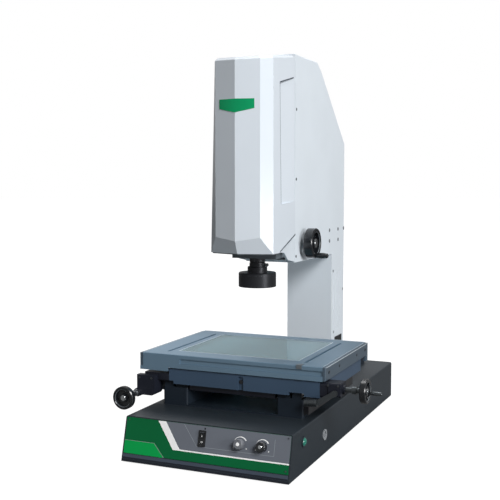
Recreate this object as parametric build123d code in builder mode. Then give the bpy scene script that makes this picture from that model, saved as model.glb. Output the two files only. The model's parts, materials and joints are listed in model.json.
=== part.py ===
from build123d import *
import os
from math import cos, pi, radians, sin, tan

os.makedirs("parts", exist_ok=True)

# Bench vision measuring machine: a deep base cabinet carries a cast bed with a cross table,
# and a column at the rear with a head that rises and falls over the table.
# Lengths are in millimetres. X runs to the right along the front, Y to the back, Z up.

# Base cabinet
BASE_WIDTH = 350.0
BASE_DEPTH = 744.0
BASE_BOTTOM = 3.0
BASE_TOP = 88.0
BASE_WALL = 4.0
BASE_CORNER = 8.0
FASCIA_SETBACK = 22.0
FRONT_COVER_DEPTH = 96.0
FOOT_RADIUS = 15.0
FOOT_X = 145.0
FOOT_Y = 335.0

# Places along the machine
FRONT_Y = -BASE_DEPTH / 2
BACK_Y = BASE_DEPTH / 2
COVER_BACK_Y = FRONT_Y + FRONT_COVER_DEPTH
OPTICAL_Y = -102.0

# Bed and its side walls
BED_WIDTH = 308.0
BED_FRONT = -238.0
BED_BACK = 342.0
BED_TOP = 104.0
BED_WALL = 56.0
BED_WALL_BACK = 60.0
BED_WALL_TOP = 126.0
BED_SHOULDER_TOP = 132.0
BED_REAR_HALF = 112.0
BAY_FLOOR = 91.0
BAY_BACK = -30.0

# Cross table
TABLE_WIDTH = 404.0
TABLE_DEPTH = 296.0
TABLE_TOP = 195.0
TABLE_BOTTOM = 167.0
TABLE_RIM = 14.0
END_PLATE = 6.0
GLASS_WIDTH = 264.0
GLASS_DEPTH = 216.0
GLASS_THICKNESS = 8.0
GLASS_LEDGE = 16.0

# Saddle between the bed and the table
SADDLE_LEFT = -136.0
SADDLE_RIGHT = 190.0
SADDLE_FRONT = -246.0
SADDLE_BACK = 32.0
SADDLE_BOTTOM = 134.0
SADDLE_TOP = 165.0
WINDOW_X = 95.0
WINDOW_Y = 88.0

# Guides
Y_RAIL_X = 142.0
X_RAIL_Y = 102.0
RAIL_WIDTH = 15.0
RAIL_WAIST = 11.0
RAIL_HEIGHT = 12.0
RAIL_GAP = 0.3

# Drives
HANDWHEEL_RADIUS = 23.5
HANDWHEEL_WIDTH = 12.0
SCREW_RADIUS = 5.0
RUNNING_GAP = 0.05
X_DRIVE_Y = -230.0
X_DRIVE_Z = 152.0
X_WHEEL_X = 269.0
X_GRIP_LENGTH = 23.0
Y_DRIVE_X = -203.5
Y_DRIVE_Z = 112.0
Y_WHEEL_Y = -306.0

# Column and its head box, all one width
COLUMN_HALF = 57.5
COLUMN_WALL = 5.0
COLUMN_FRONT = 228.0
COLUMN_BACK = 328.0
BOX_FRONT = -30.0
BOX_BOTTOM = 372.0
BOX_TOP = 820.0
SLOPE_TOP_Y = 143.0
SLOPE_TOP_Z = 801.0
SLOPE_FOOT_Z = 640.0
BEVEL_TOP_Y = 111.0

# Vertical drive and guides
Z_DRIVE_Y = 23.0
Z_DRIVE_Z = 412.0
Z_WHEEL_X = 69.5
Z_WHEEL_RADIUS = 33.0
Z_WHEEL_WIDTH = 20.0
Z_GRIP_LENGTH = 28.0
Z_SHAFT_RADIUS = 6.0
Z_SCREW_RADIUS = 7.0
Z_RAIL_X = 34.0
Z_RAIL_BACK = 44.0
CARRIAGE_BACK = 4.0
CARRIAGE_FRONT = -8.0

# Head cover: a shell with a ridge down its front
COVER_LOW_HALF = 69.4
COVER_TOP_HALF = 64.0
COVER_BACK = -57.0
COVER_BOTTOM = 402.0
COVER_SKIRT = 428.0
COVER_RIDGE_Y = -218.0
COVER_FACET_X = 49.0
COVER_FACET_RISE = 13.0
COVER_LOW_CORNER = 34.5
COVER_TOP_CORNER = 44.5
COVER_WALL = 3.0
COVER_TOP_BACK = 817.0
COVER_TOP_FRONT = 792.0
NECK_HALF = 57.5
NECK_BACK = -31.0
SLIT_Y = -151.0
SLIT_SLOPE = 0.338

# Optics
RING_RADIUS = 40.0
RING_BOTTOM = 325.5
RING_TOP = 356.0
COLLAR_RADIUS = 21.0
BARREL_RADIUS = 15.0

# The origin stands under the middle of the overall outline, so the machine's centre plane is offset
RIGHT_END = X_WHEEL_X + HANDWHEEL_WIDTH + X_GRIP_LENGTH
LEFT_END = Y_DRIVE_X - HANDWHEEL_RADIUS
CENTRE_X = -(RIGHT_END + LEFT_END) / 2

FLOOR = Plane(origin=(CENTRE_X, 0, 0), x_dir=(1, 0, 0), z_dir=(0, 0, 1))
FRONT = Plane(origin=(CENTRE_X, 0, 0), x_dir=(1, 0, 0), z_dir=(0, -1, 0))
RIGHT = Plane(origin=(CENTRE_X, 0, 0), x_dir=(0, 1, 0), z_dir=(1, 0, 0))
FASCIA = Plane(
    origin=(CENTRE_X, FRONT_Y, BASE_BOTTOM),
    x_dir=(1, 0, 0),
    z_dir=(0, -(BASE_TOP - BASE_BOTTOM), FASCIA_SETBACK),
)


def level(z):
    """Horizontal plane at a height: local X to the right, local Y to the back."""
    return FLOOR.offset(z)


def across(y):
    """Upright plane across the machine, facing the front: local X to the right, local Y up."""
    return FRONT.offset(-y)


def along(x):
    """Upright plane along the machine, facing right: local X to the back, local Y up."""
    return RIGHT.offset(x)


def span(low_x, high_x, low_y, high_y, mode=Mode.ADD):
    """Draw a rectangle from its two opposite corners in the active sketch."""
    with Locations(((low_x + high_x) / 2, (low_y + high_y) / 2)):
        Rectangle(high_x - low_x, high_y - low_y, mode=mode)


def half_section(plane):
    """Plane through a turning axis: local X is the radius, local Y runs along the plane's normal."""
    return Plane(origin=plane.origin, x_dir=plane.x_dir, z_dir=-plane.y_dir)


def turning_axis(plane):
    """Axis through a plane's origin along its normal."""
    return Axis(plane.origin, plane.z_dir)


# Base: cabinet body, open at its front and underside, with three cross ribs under the top
VENT_COUNT = 12
VENT_PITCH = 9.0
VENT_LENGTH = 34.0
VENT_WIDTH = 4.0
INLET_X = 90.0
INLET_Z = 44.0
INLET_WIDTH = 48.0
INLET_HEIGHT = 28.0
SOCKET_Y = -171.0
SOCKET_Z = 42.0
SOCKET_RADIUS = 9.0
LAMP_RADIUS = 30.0
RIB_PLACES = [-190.0, 40.0, 240.0]

with BuildPart() as base_housing:
    with BuildSketch(level(BASE_BOTTOM)):
        span(-BASE_WIDTH / 2, BASE_WIDTH / 2, COVER_BACK_Y, BACK_Y)
    extrude(amount=BASE_TOP - BASE_BOTTOM)
    fillet(base_housing.edges().filter_by(Axis.Z).group_by(Axis.Y)[-1], BASE_CORNER)
    fillet(base_housing.faces().sort_by(Axis.Z)[-1].edges().filter_by(Axis.Y), 3.0)
    with BuildSketch(level(BASE_BOTTOM)):
        span(
            -BASE_WIDTH / 2 + BASE_WALL,
            BASE_WIDTH / 2 - BASE_WALL,
            COVER_BACK_Y - 1,
            BACK_Y - BASE_WALL,
        )
    extrude(amount=BASE_TOP - BASE_BOTTOM - BASE_WALL, mode=Mode.SUBTRACT)
    for rib_y in RIB_PLACES:
        with BuildSketch(across(rib_y)):
            span(-BASE_WIDTH / 2 + BASE_WALL, BASE_WIDTH / 2 - BASE_WALL, 58.0, BASE_TOP - BASE_WALL)
        extrude(amount=BASE_WALL)
    with BuildSketch(level(BASE_TOP - BASE_WALL)):
        with Locations((0, OPTICAL_Y)):
            Circle(LAMP_RADIUS + 0.5)
    extrude(amount=BASE_WALL, mode=Mode.SUBTRACT)
    with BuildSketch(across(BACK_Y)):
        with Locations((-60.0, INLET_Z)):
            with GridLocations(VENT_PITCH, 0, VENT_COUNT, 1):
                SlotOverall(VENT_LENGTH, VENT_WIDTH, rotation=90)
        with Locations((INLET_X, INLET_Z)):
            Rectangle(INLET_WIDTH, INLET_HEIGHT)
    extrude(amount=BASE_WALL, mode=Mode.SUBTRACT)
    with BuildSketch(along(BASE_WIDTH / 2)):
        with Locations((SOCKET_Y, SOCKET_Z)):
            Circle(SOCKET_RADIUS)
    extrude(amount=-BASE_WALL, mode=Mode.SUBTRACT)
base_housing.part.label = "base_housing"
export_step(base_housing.part, "parts/base_housing.step")

# Front cover: sloped shell that closes the cabinet's front, with a shallow seat for the panel
SLOPE_LENGTH = ((BASE_TOP - BASE_BOTTOM) ** 2 + FASCIA_SETBACK**2) ** 0.5
PANEL_LOW = 16.2
PANEL_HIGH = SLOPE_LENGTH - 2.0
PANEL_HALF = BASE_WIDTH / 2 - 2.5
PANEL_THICKNESS = 1.6
SWITCH_X = -6.0
SWITCH_V = 61.5
SWITCH_WIDTH = 13.0
SWITCH_HEIGHT = 28.5
DIMMER_XS = [73.0, 117.5]
DIMMER_V = 60.0
SPINDLE_RADIUS = 3.0
BUTTON_Y = FRONT_Y + 77.5
BUTTON_Z = 61.0
BUTTON_RADIUS = 8.0
SILL_LOW = 4.5
SILL_HIGH = 15.5

with BuildPart() as front_cover:
    with BuildSketch(along(-BASE_WIDTH / 2)):
        with BuildLine():
            Polyline(
                (FRONT_Y, BASE_BOTTOM),
                (FRONT_Y + FASCIA_SETBACK, BASE_TOP),
                (COVER_BACK_Y, BASE_TOP),
                (COVER_BACK_Y, BASE_BOTTOM),
                close=True,
            )
        make_face()
    extrude(amount=BASE_WIDTH)
    fillet(front_cover.faces().sort_by(Axis.Z)[-1].edges().filter_by(Axis.Y), 3.0)
    with BuildSketch(along(-BASE_WIDTH / 2 + BASE_WALL)):
        with BuildLine():
            Polyline(
                (FRONT_Y + BASE_WALL + 1, BASE_BOTTOM),
                (FRONT_Y + FASCIA_SETBACK + BASE_WALL - 1, BASE_TOP - BASE_WALL),
                (COVER_BACK_Y, BASE_TOP - BASE_WALL),
                (COVER_BACK_Y, BASE_BOTTOM),
                close=True,
            )
        make_face()
    extrude(amount=BASE_WIDTH - 2 * BASE_WALL, mode=Mode.SUBTRACT)
    with BuildSketch(FASCIA):
        span(-PANEL_HALF, PANEL_HALF, PANEL_LOW, PANEL_HIGH)
    extrude(amount=-PANEL_THICKNESS, mode=Mode.SUBTRACT)
    with BuildSketch(FASCIA):
        span(-PANEL_HALF, PANEL_HALF, SILL_LOW, SILL_HIGH)
    extrude(amount=-1.2, mode=Mode.SUBTRACT)
    with BuildSketch(FASCIA):
        with Locations((SWITCH_X, SWITCH_V)):
            Rectangle(SWITCH_WIDTH, SWITCH_HEIGHT)
        with Locations(*[(x, DIMMER_V) for x in DIMMER_XS]):
            Circle(5.0)
    extrude(amount=-12.0, mode=Mode.SUBTRACT)
    with BuildSketch(along(BASE_WIDTH / 2)):
        with Locations((BUTTON_Y, BUTTON_Z)):
            Circle(BUTTON_RADIUS)
    extrude(amount=-BASE_WALL, mode=Mode.SUBTRACT)
    with BuildSketch(along(BASE_WIDTH / 2)):
        with Locations((BUTTON_Y, BUTTON_Z)):
            Circle(BUTTON_RADIUS + 2.5)
            Circle(BUTTON_RADIUS, mode=Mode.SUBTRACT)
    extrude(amount=2.0)
front_cover.part.label = "front_cover"
export_step(front_cover.part, "parts/front_cover.step")

# Front panel: flat plate in the cover's seat, pierced for the switch and the two dimmers
with BuildPart() as front_panel:
    with BuildSketch(FASCIA.offset(-PANEL_THICKNESS)):
        span(-PANEL_HALF + 0.2, PANEL_HALF - 0.2, PANEL_LOW + 0.2, PANEL_HIGH - 0.2)
        with Locations((SWITCH_X, SWITCH_V)):
            Rectangle(SWITCH_WIDTH, SWITCH_HEIGHT, mode=Mode.SUBTRACT)
        with Locations(*[(x, DIMMER_V) for x in DIMMER_XS]):
            Circle(5.0, mode=Mode.SUBTRACT)
    extrude(amount=PANEL_THICKNESS)
    fillet(front_panel.faces().sort_by(Axis.Y)[0].outer_wire().edges(), 0.6)
front_panel.part.label = "front_panel"
export_step(front_panel.part, "parts/front_panel.step")

# Front sill: the strip along the foot of the sloped front
with BuildPart() as front_sill:
    with BuildSketch(FASCIA.offset(-1.2)):
        span(-PANEL_HALF + 0.2, PANEL_HALF - 0.2, SILL_LOW + 0.2, SILL_HIGH - 0.2)
    extrude(amount=1.9)
    chamfer(front_sill.faces().sort_by(Axis.Y)[0].edges().filter_by(Axis.X), 0.9)
front_sill.part.label = "front_sill"
export_step(front_sill.part, "parts/front_sill.step")

# Bottom plate: closes the cabinet from below, with vent slots and foot seats
PLATE_LOW = 5.0
PLATE_THICKNESS = 2.0
PLATE_FRONT = FRONT_Y + 14.0

with BuildPart() as bottom_plate:
    with BuildSketch(level(PLATE_LOW)):
        span(
            -BASE_WIDTH / 2 + BASE_WALL + 0.5,
            BASE_WIDTH / 2 - BASE_WALL - 0.5,
            PLATE_FRONT,
            BACK_Y - BASE_WALL - 0.5,
        )
        with Locations((0, OPTICAL_Y), (70.0, 160.0)):
            with GridLocations(VENT_PITCH, 0, VENT_COUNT, 1):
                SlotOverall(60.0, VENT_WIDTH, rotation=90, mode=Mode.SUBTRACT)
    extrude(amount=PLATE_THICKNESS)
bottom_plate.part.label = "bottom_plate"
export_step(bottom_plate.part, "parts/bottom_plate.step")

# Feet: four low rubber pads pressed against the bottom plate
with BuildPart() as rubber_feet:
    with BuildSketch(level(0)):
        with GridLocations(2 * FOOT_X, 2 * FOOT_Y, 2, 2):
            Circle(FOOT_RADIUS)
    extrude(amount=PLATE_LOW)
    chamfer(rubber_feet.edges().filter_by(GeomType.CIRCLE).group_by(Axis.Z)[0], 1.2)
rubber_feet.part.label = "rubber_feet"
export_step(rubber_feet.part, "parts/rubber_feet.step")

# Bed: cast slab with two side walls for the cross guides and an open bay under the table
with BuildPart() as bed:
    with BuildSketch(level(BASE_TOP)):
        span(-BED_WIDTH / 2, BED_WIDTH / 2, BED_FRONT, BED_WALL_BACK)
        span(-BED_REAR_HALF, BED_REAR_HALF, BED_WALL_BACK - 1, BED_BACK)
    extrude(amount=BED_TOP - BASE_TOP)
    with BuildSketch(level(BED_TOP)):
        for wall_side in (-1, 1):
            with Locations((wall_side * (BED_WIDTH - BED_WALL) / 2, (BED_FRONT + BED_WALL_BACK) / 2)):
                Rectangle(BED_WALL, BED_WALL_BACK - BED_FRONT)
    extrude(amount=BED_WALL_TOP - BED_TOP)
    with BuildSketch(level(BAY_FLOOR)):
        span(-BED_WIDTH / 2 + BED_WALL, BED_WIDTH / 2 - BED_WALL, BED_FRONT - 1, BAY_BACK)
    extrude(amount=BED_TOP - BAY_FLOOR, mode=Mode.SUBTRACT)
    with BuildSketch(level(BASE_TOP)):
        with Locations((0, OPTICAL_Y)):
            Circle(LAMP_RADIUS + 0.5)
    extrude(amount=BAY_FLOOR - BASE_TOP, mode=Mode.SUBTRACT)
    with BuildSketch(level(BED_TOP)):
        with Locations((0, 145.0)):
            RectangleRounded(180.0, 90.0, 12.0)
    extrude(amount=-9.0, mode=Mode.SUBTRACT)
    fillet(bed.edges().filter_by(Axis.Z).group_by(Axis.Y)[0], 4.0)
    fillet(bed.edges().filter_by(Axis.Z).group_by(Axis.Y)[-1], 8.0)
    with BuildSketch(level(BED_WALL_TOP)):
        for wall_side in (-1, 1):
            shoulder_x = wall_side * (Y_RAIL_X - 30.0)
            span(shoulder_x - 13.5, shoulder_x + 13.5, BED_FRONT + 4, BED_WALL_BACK)
    extrude(amount=BED_SHOULDER_TOP - BED_WALL_TOP)
    with BuildSketch(level(BED_WALL_TOP)):
        for wall_side in (-1, 1):
            stop_x = wall_side * (Y_RAIL_X - 1.5)
            span(stop_x - 9.5, stop_x + 9.5, BED_FRONT, BED_FRONT + 5)
    extrude(amount=RAIL_HEIGHT)
bed.part.label = "bed"
export_step(bed.part, "parts/bed.step")


def rail_profile(width, waist, height):
    """Draw a guide rail's cross-section with a foot, a waist and a head, its foot at local Y 0."""
    Polygon(
        (-width / 2, 0),
        (-width / 2, height * 0.30),
        (-waist / 2, height * 0.42),
        (-waist / 2, height * 0.58),
        (-width / 2, height * 0.70),
        (-width / 2, height),
        (width / 2, height),
        (width / 2, height * 0.70),
        (waist / 2, height * 0.58),
        (waist / 2, height * 0.42),
        (width / 2, height * 0.30),
        (width / 2, 0),
        align=None,
    )


# Cross guides on the bed's walls
with BuildPart() as y_rails:
    for rail_side in (-1, 1):
        rail_plane = Plane(
            origin=(CENTRE_X + rail_side * Y_RAIL_X, BED_FRONT + 5.5, BED_WALL_TOP),
            x_dir=(-1, 0, 0),
            z_dir=(0, 1, 0),
        )
        with BuildSketch(rail_plane):
            rail_profile(RAIL_WIDTH, RAIL_WAIST, RAIL_HEIGHT)
        extrude(amount=BED_WALL_BACK - BED_FRONT - 7.5)
y_rails.part.label = "y_rails"
export_step(y_rails.part, "parts/y_rails.step")


def bearing_profile(width, low, high):
    """Draw a bearing block's cross-section: a saddle over a guide rail whose foot is at local Y 0."""
    span(-width / 2, width / 2, low, high)
    span(
        -RAIL_WIDTH / 2 - RAIL_GAP,
        RAIL_WIDTH / 2 + RAIL_GAP,
        low - 1,
        RAIL_HEIGHT + RAIL_GAP,
        mode=Mode.SUBTRACT,
    )


# Bearing blocks that run on the cross guides, four of them
BLOCK_WIDTH = 30.0
BLOCK_LENGTH = 50.0
BLOCK_TOP = 147.0
Y_BLOCK_PLACES = [OPTICAL_Y - 55.0, OPTICAL_Y + 55.0]

with BuildPart() as y_bearings:
    for rail_side in (-1, 1):
        for block_y in Y_BLOCK_PLACES:
            block_plane = Plane(
                origin=(CENTRE_X + rail_side * Y_RAIL_X, block_y - BLOCK_LENGTH / 2, BED_WALL_TOP),
                x_dir=(-1, 0, 0),
                z_dir=(0, 1, 0),
            )
            with BuildSketch(block_plane):
                bearing_profile(BLOCK_WIDTH, 3.0, BLOCK_TOP - BED_WALL_TOP)
            extrude(amount=BLOCK_LENGTH)
y_bearings.part.label = "y_bearings"
export_step(y_bearings.part, "parts/y_bearings.step")

# Saddle: plate between the bed and the table, with the light window, guide channels and drive groove
ARM_LEFT = -193.0
ARM_LOW = 139.5
ARM_HIGH = 154.0
ARM_BACK = -196.0
CHANNEL_HALF = BLOCK_WIDTH / 2 + 1.0
CHANNEL_TOP = 140.0
X_GROOVE_HALF = 10.0
X_GROOVE_FLOOR = 150.0
X_GROOVE_LEFT = -126.0
X_GROOVE_RIGHT = 180.0
DRIVE_GROOVE_HALF = 8.0
DRIVE_GROOVE_FLOOR = 144.0
BEAM_BOTTOM = 122.0
BEAM_HALF = 94.0
LOCK_X = 25.0
LOCK_SLOT_HALF = 5.0
LOCK_FACE = SADDLE_FRONT + 4.0
LOCK_Z = 151.0

with BuildPart() as saddle:
    with BuildSketch(level(SADDLE_BOTTOM)):
        span(SADDLE_LEFT, SADDLE_RIGHT, SADDLE_FRONT, SADDLE_BACK)
    extrude(amount=SADDLE_TOP - SADDLE_BOTTOM)
    with BuildSketch(level(BEAM_BOTTOM)):
        span(-BEAM_HALF, BEAM_HALF, BED_FRONT + 2, SADDLE_BACK)
    extrude(amount=SADDLE_BOTTOM - BEAM_BOTTOM)
    with BuildSketch(level(ARM_LOW)):
        span(ARM_LEFT, SADDLE_LEFT, SADDLE_FRONT, ARM_BACK)
    extrude(amount=ARM_HIGH - ARM_LOW)
    with BuildSketch(level(BEAM_BOTTOM)):
        with Locations((0, OPTICAL_Y)):
            RectangleRounded(2 * WINDOW_X, 2 * WINDOW_Y, 10.0)
    extrude(amount=SADDLE_TOP - BEAM_BOTTOM, mode=Mode.SUBTRACT)
    with BuildSketch(level(SADDLE_BOTTOM)):
        for rail_side in (-1, 1):
            span(
                rail_side * Y_RAIL_X - CHANNEL_HALF,
                rail_side * Y_RAIL_X + CHANNEL_HALF,
                SADDLE_FRONT - 1,
                SADDLE_BACK + 1,
            )
    extrude(amount=CHANNEL_TOP - SADDLE_BOTTOM, mode=Mode.SUBTRACT)
    with BuildSketch(level(SADDLE_BOTTOM)):
        for rail_side in (-1, 1):
            for block_y in Y_BLOCK_PLACES:
                span(
                    rail_side * Y_RAIL_X - CHANNEL_HALF,
                    rail_side * Y_RAIL_X + CHANNEL_HALF,
                    block_y - BLOCK_LENGTH / 2 - 1,
                    block_y + BLOCK_LENGTH / 2 + 1,
                )
    extrude(amount=BLOCK_TOP - SADDLE_BOTTOM, mode=Mode.SUBTRACT)
    with BuildSketch(level(X_GROOVE_FLOOR)):
        for groove_side in (-1, 1):
            groove_y = OPTICAL_Y + groove_side * X_RAIL_Y
            span(X_GROOVE_LEFT, X_GROOVE_RIGHT, groove_y - X_GROOVE_HALF, groove_y + X_GROOVE_HALF)
    extrude(amount=SADDLE_TOP - X_GROOVE_FLOOR, mode=Mode.SUBTRACT)
    with BuildSketch(level(DRIVE_GROOVE_FLOOR)):
        span(
            X_GROOVE_LEFT,
            X_GROOVE_RIGHT,
            X_DRIVE_Y - DRIVE_GROOVE_HALF,
            X_DRIVE_Y + DRIVE_GROOVE_HALF,
        )
    extrude(amount=SADDLE_TOP - DRIVE_GROOVE_FLOOR, mode=Mode.SUBTRACT)
    with BuildSketch(along(SADDLE_LEFT)):
        with Locations((X_DRIVE_Y, X_DRIVE_Z)):
            Circle(SCREW_RADIUS + RUNNING_GAP)
    extrude(amount=SADDLE_RIGHT - SADDLE_LEFT, mode=Mode.SUBTRACT)
    with BuildSketch(across(SADDLE_FRONT)):
        span(LOCK_X - LOCK_SLOT_HALF, LOCK_X + LOCK_SLOT_HALF, SADDLE_BOTTOM - 1, 161.0)
    extrude(amount=SADDLE_FRONT - LOCK_FACE, mode=Mode.SUBTRACT)
    with BuildSketch(across(LOCK_FACE)):
        with Locations((LOCK_X, LOCK_Z)):
            Circle(2.5 + RUNNING_GAP)
    extrude(amount=-2.6, mode=Mode.SUBTRACT)
saddle.part.label = "saddle"
export_step(saddle.part, "parts/saddle.step")

# Saddle lock: small thumb screw in the slot of the saddle's front wall
with BuildPart() as saddle_lock:
    with BuildSketch(across(LOCK_FACE)):
        with Locations((LOCK_X, LOCK_Z)):
            Circle(2.5)
    extrude(amount=-2.3)
    with BuildSketch(across(LOCK_FACE - 1.0)):
        with Locations((LOCK_X, LOCK_Z)):
            Circle(4.0)
    extrude(amount=2.6)
    with BuildSketch(across(LOCK_FACE)):
        with Locations((LOCK_X, LOCK_Z)):
            Circle(2.5)
    extrude(amount=1.0)
    with BuildSketch(across(LOCK_FACE - 3.6)):
        with Locations((LOCK_X, LOCK_Z)):
            with PolarLocations(4.3, 12):
                Circle(0.7)
    extrude(amount=-2.6, mode=Mode.SUBTRACT)
saddle_lock.part.label = "saddle_lock"
export_step(saddle_lock.part, "parts/saddle_lock.step")

# Saddle end cap on the right, with the drive shaft's passage
CAP_END = 207.0

with BuildPart() as saddle_end_cap:
    with BuildSketch(along(SADDLE_RIGHT)):
        with Locations(((SADDLE_FRONT - 222.0) / 2 + 7, (SADDLE_BOTTOM + SADDLE_TOP) / 2)):
            RectangleRounded(38.0, SADDLE_TOP - SADDLE_BOTTOM, 6.0)
    extrude(amount=CAP_END - SADDLE_RIGHT)
    fillet(saddle_end_cap.faces().sort_by(Axis.X)[-1].outer_wire().edges(), 2.5)
    with BuildSketch(along(SADDLE_RIGHT)):
        with Locations((X_DRIVE_Y, X_DRIVE_Z)):
            Circle(SCREW_RADIUS + 1.0)
    extrude(amount=CAP_END - SADDLE_RIGHT, mode=Mode.SUBTRACT)
saddle_end_cap.part.label = "saddle_end_cap"
export_step(saddle_end_cap.part, "parts/saddle_end_cap.step")

# Long guides in the saddle's grooves
X_RAIL_FOOT = X_GROOVE_FLOOR
X_RAIL_HEIGHT = 8.0
X_RAIL_WIDTH = 9.0

with BuildPart() as x_rails:
    for groove_side in (-1, 1):
        rail_plane = Plane(
            origin=(CENTRE_X + X_GROOVE_LEFT, OPTICAL_Y + groove_side * X_RAIL_Y, X_RAIL_FOOT),
            x_dir=(0, 1, 0),
            z_dir=(1, 0, 0),
        )
        with BuildSketch(rail_plane):
            rail_profile(X_RAIL_WIDTH, X_RAIL_WIDTH - 3, X_RAIL_HEIGHT)
        extrude(amount=X_GROOVE_RIGHT - X_GROOVE_LEFT)
x_rails.part.label = "x_rails"
export_step(x_rails.part, "parts/x_rails.step")

# Bearing blocks under the table, two on each long guide
TABLE_SKIN_UNDER = 183.0
X_BLOCK_PLACES = [-11.0, 11.0]
X_BLOCK_LENGTH = 20.0

with BuildPart() as x_bearings:
    for groove_side in (-1, 1):
        for block_x in X_BLOCK_PLACES:
            block_plane = Plane(
                origin=(
                    CENTRE_X + block_x - X_BLOCK_LENGTH / 2,
                    OPTICAL_Y + groove_side * X_RAIL_Y,
                    X_RAIL_FOOT,
                ),
                x_dir=(0, 1, 0),
                z_dir=(1, 0, 0),
            )
            with BuildSketch(block_plane):
                span(-8.5, 8.5, 2.0, TABLE_SKIN_UNDER - X_RAIL_FOOT)
                span(
                    -X_RAIL_WIDTH / 2 - RAIL_GAP,
                    X_RAIL_WIDTH / 2 + RAIL_GAP,
                    1.0,
                    X_RAIL_HEIGHT + RAIL_GAP,
                    mode=Mode.SUBTRACT,
                )
            extrude(amount=X_BLOCK_LENGTH)
x_bearings.part.label = "x_bearings"
export_step(x_bearings.part, "parts/x_bearings.step")

# Drive nut under the table, around the long drive screw
NUT_HALF = 15.0

with BuildPart() as x_nut:
    with BuildSketch(along(-NUT_HALF)):
        span(X_DRIVE_Y - 7.5, X_DRIVE_Y + 7.5, DRIVE_GROOVE_FLOOR + 0.5, TABLE_SKIN_UNDER)
        with Locations((X_DRIVE_Y, X_DRIVE_Z)):
            Circle(SCREW_RADIUS + RUNNING_GAP, mode=Mode.SUBTRACT)
    extrude(amount=2 * NUT_HALF)
x_nut.part.label = "x_nut"
export_step(x_nut.part, "parts/x_nut.step")

# Table frame: hollow underneath, with a lit window, a glass ledge and clamp grooves on top
FRAME_HALF_X = TABLE_WIDTH / 2 - END_PLATE
TABLE_FRONT = OPTICAL_Y - TABLE_DEPTH / 2
TABLE_BACK = OPTICAL_Y + TABLE_DEPTH / 2
GLASS_Y = OPTICAL_Y + 4.0
GLASS_TOP = TABLE_TOP - 0.5
CLAMP_GROOVE_X = 151.0
CLAMP_GROOVE_WIDTH = 6.0
CLAMP_GROOVE_LENGTH = 229.0
CLAMP_GROOVE_Y = -106.5
LIP_LOW = 159.5
LIP_RIGHT = -137.5
FRONT_GROOVE_LOW = 176.5
FRONT_GROOVE_HIGH = 187.0
FRONT_GROOVE_LEFT = -110.0

with BuildPart() as table_frame:
    with BuildSketch(level(TABLE_BOTTOM)):
        span(-FRAME_HALF_X, FRAME_HALF_X, TABLE_FRONT, TABLE_BACK)
    extrude(amount=TABLE_TOP - TABLE_BOTTOM)
    with BuildSketch(level(TABLE_BOTTOM)):
        span(
            -FRAME_HALF_X + TABLE_RIM,
            FRAME_HALF_X - TABLE_RIM,
            TABLE_FRONT + 9.0,
            TABLE_BACK - TABLE_RIM,
        )
    extrude(amount=TABLE_SKIN_UNDER - TABLE_BOTTOM, mode=Mode.SUBTRACT)
    with BuildSketch(level(TABLE_SKIN_UNDER)):
        with Locations((0, GLASS_Y)):
            RectangleRounded(GLASS_WIDTH - 2 * GLASS_LEDGE, GLASS_DEPTH - 2 * GLASS_LEDGE, 4.0)
    extrude(amount=TABLE_TOP - TABLE_SKIN_UNDER, mode=Mode.SUBTRACT)
    with BuildSketch(level(TABLE_TOP)):
        with Locations((0, GLASS_Y)):
            RectangleRounded(GLASS_WIDTH + 0.4, GLASS_DEPTH + 0.4, 3.0)
    extrude(amount=-(TABLE_TOP - GLASS_TOP + GLASS_THICKNESS), mode=Mode.SUBTRACT)
    with BuildSketch(level(TABLE_TOP)):
        for groove_side in (-1, 1):
            with Locations((groove_side * CLAMP_GROOVE_X, CLAMP_GROOVE_Y)):
                SlotOverall(CLAMP_GROOVE_LENGTH, CLAMP_GROOVE_WIDTH, rotation=90)
    extrude(amount=-5.0, mode=Mode.SUBTRACT)
    with BuildSketch(across(TABLE_FRONT)):
        span(FRONT_GROOVE_LEFT, FRAME_HALF_X + 1, FRONT_GROOVE_LOW, FRONT_GROOVE_HIGH)
    extrude(amount=-3.0, mode=Mode.SUBTRACT)
    fillet(table_frame.faces().sort_by(Axis.Y)[0].edges().filter_by(Axis.Z).group_by(Axis.X)[0], 1.5)
    chamfer(table_frame.faces().sort_by(Axis.Z)[-1].outer_wire().edges(), 1.0)
    with BuildSketch(across(TABLE_FRONT)):
        span(-TABLE_WIDTH / 2, LIP_RIGHT, LIP_LOW, TABLE_BOTTOM)
        span(-FRAME_HALF_X + 2, LIP_RIGHT, TABLE_BOTTOM - 1, TABLE_BOTTOM + 3)
    extrude(amount=-3.5)
table_frame.part.label = "table_frame"
export_step(table_frame.part, "parts/table_frame.step")

# Glass plate in the table
with BuildPart() as stage_glass:
    with BuildSketch(level(GLASS_TOP - GLASS_THICKNESS)):
        with Locations((0, GLASS_Y)):
            RectangleRounded(GLASS_WIDTH, GLASS_DEPTH, 3.0)
    extrude(amount=GLASS_THICKNESS)
    chamfer(stage_glass.faces().sort_by(Axis.Z)[-1].edges(), 0.8)
stage_glass.part.label = "stage_glass"
export_step(stage_glass.part, "parts/stage_glass.step")

# End plates on the table's short sides, the right one with a hanging bracket at its rear
BRACKET_LOW = 155.0
PLATE_HOLES_Y = 125.0

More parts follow.
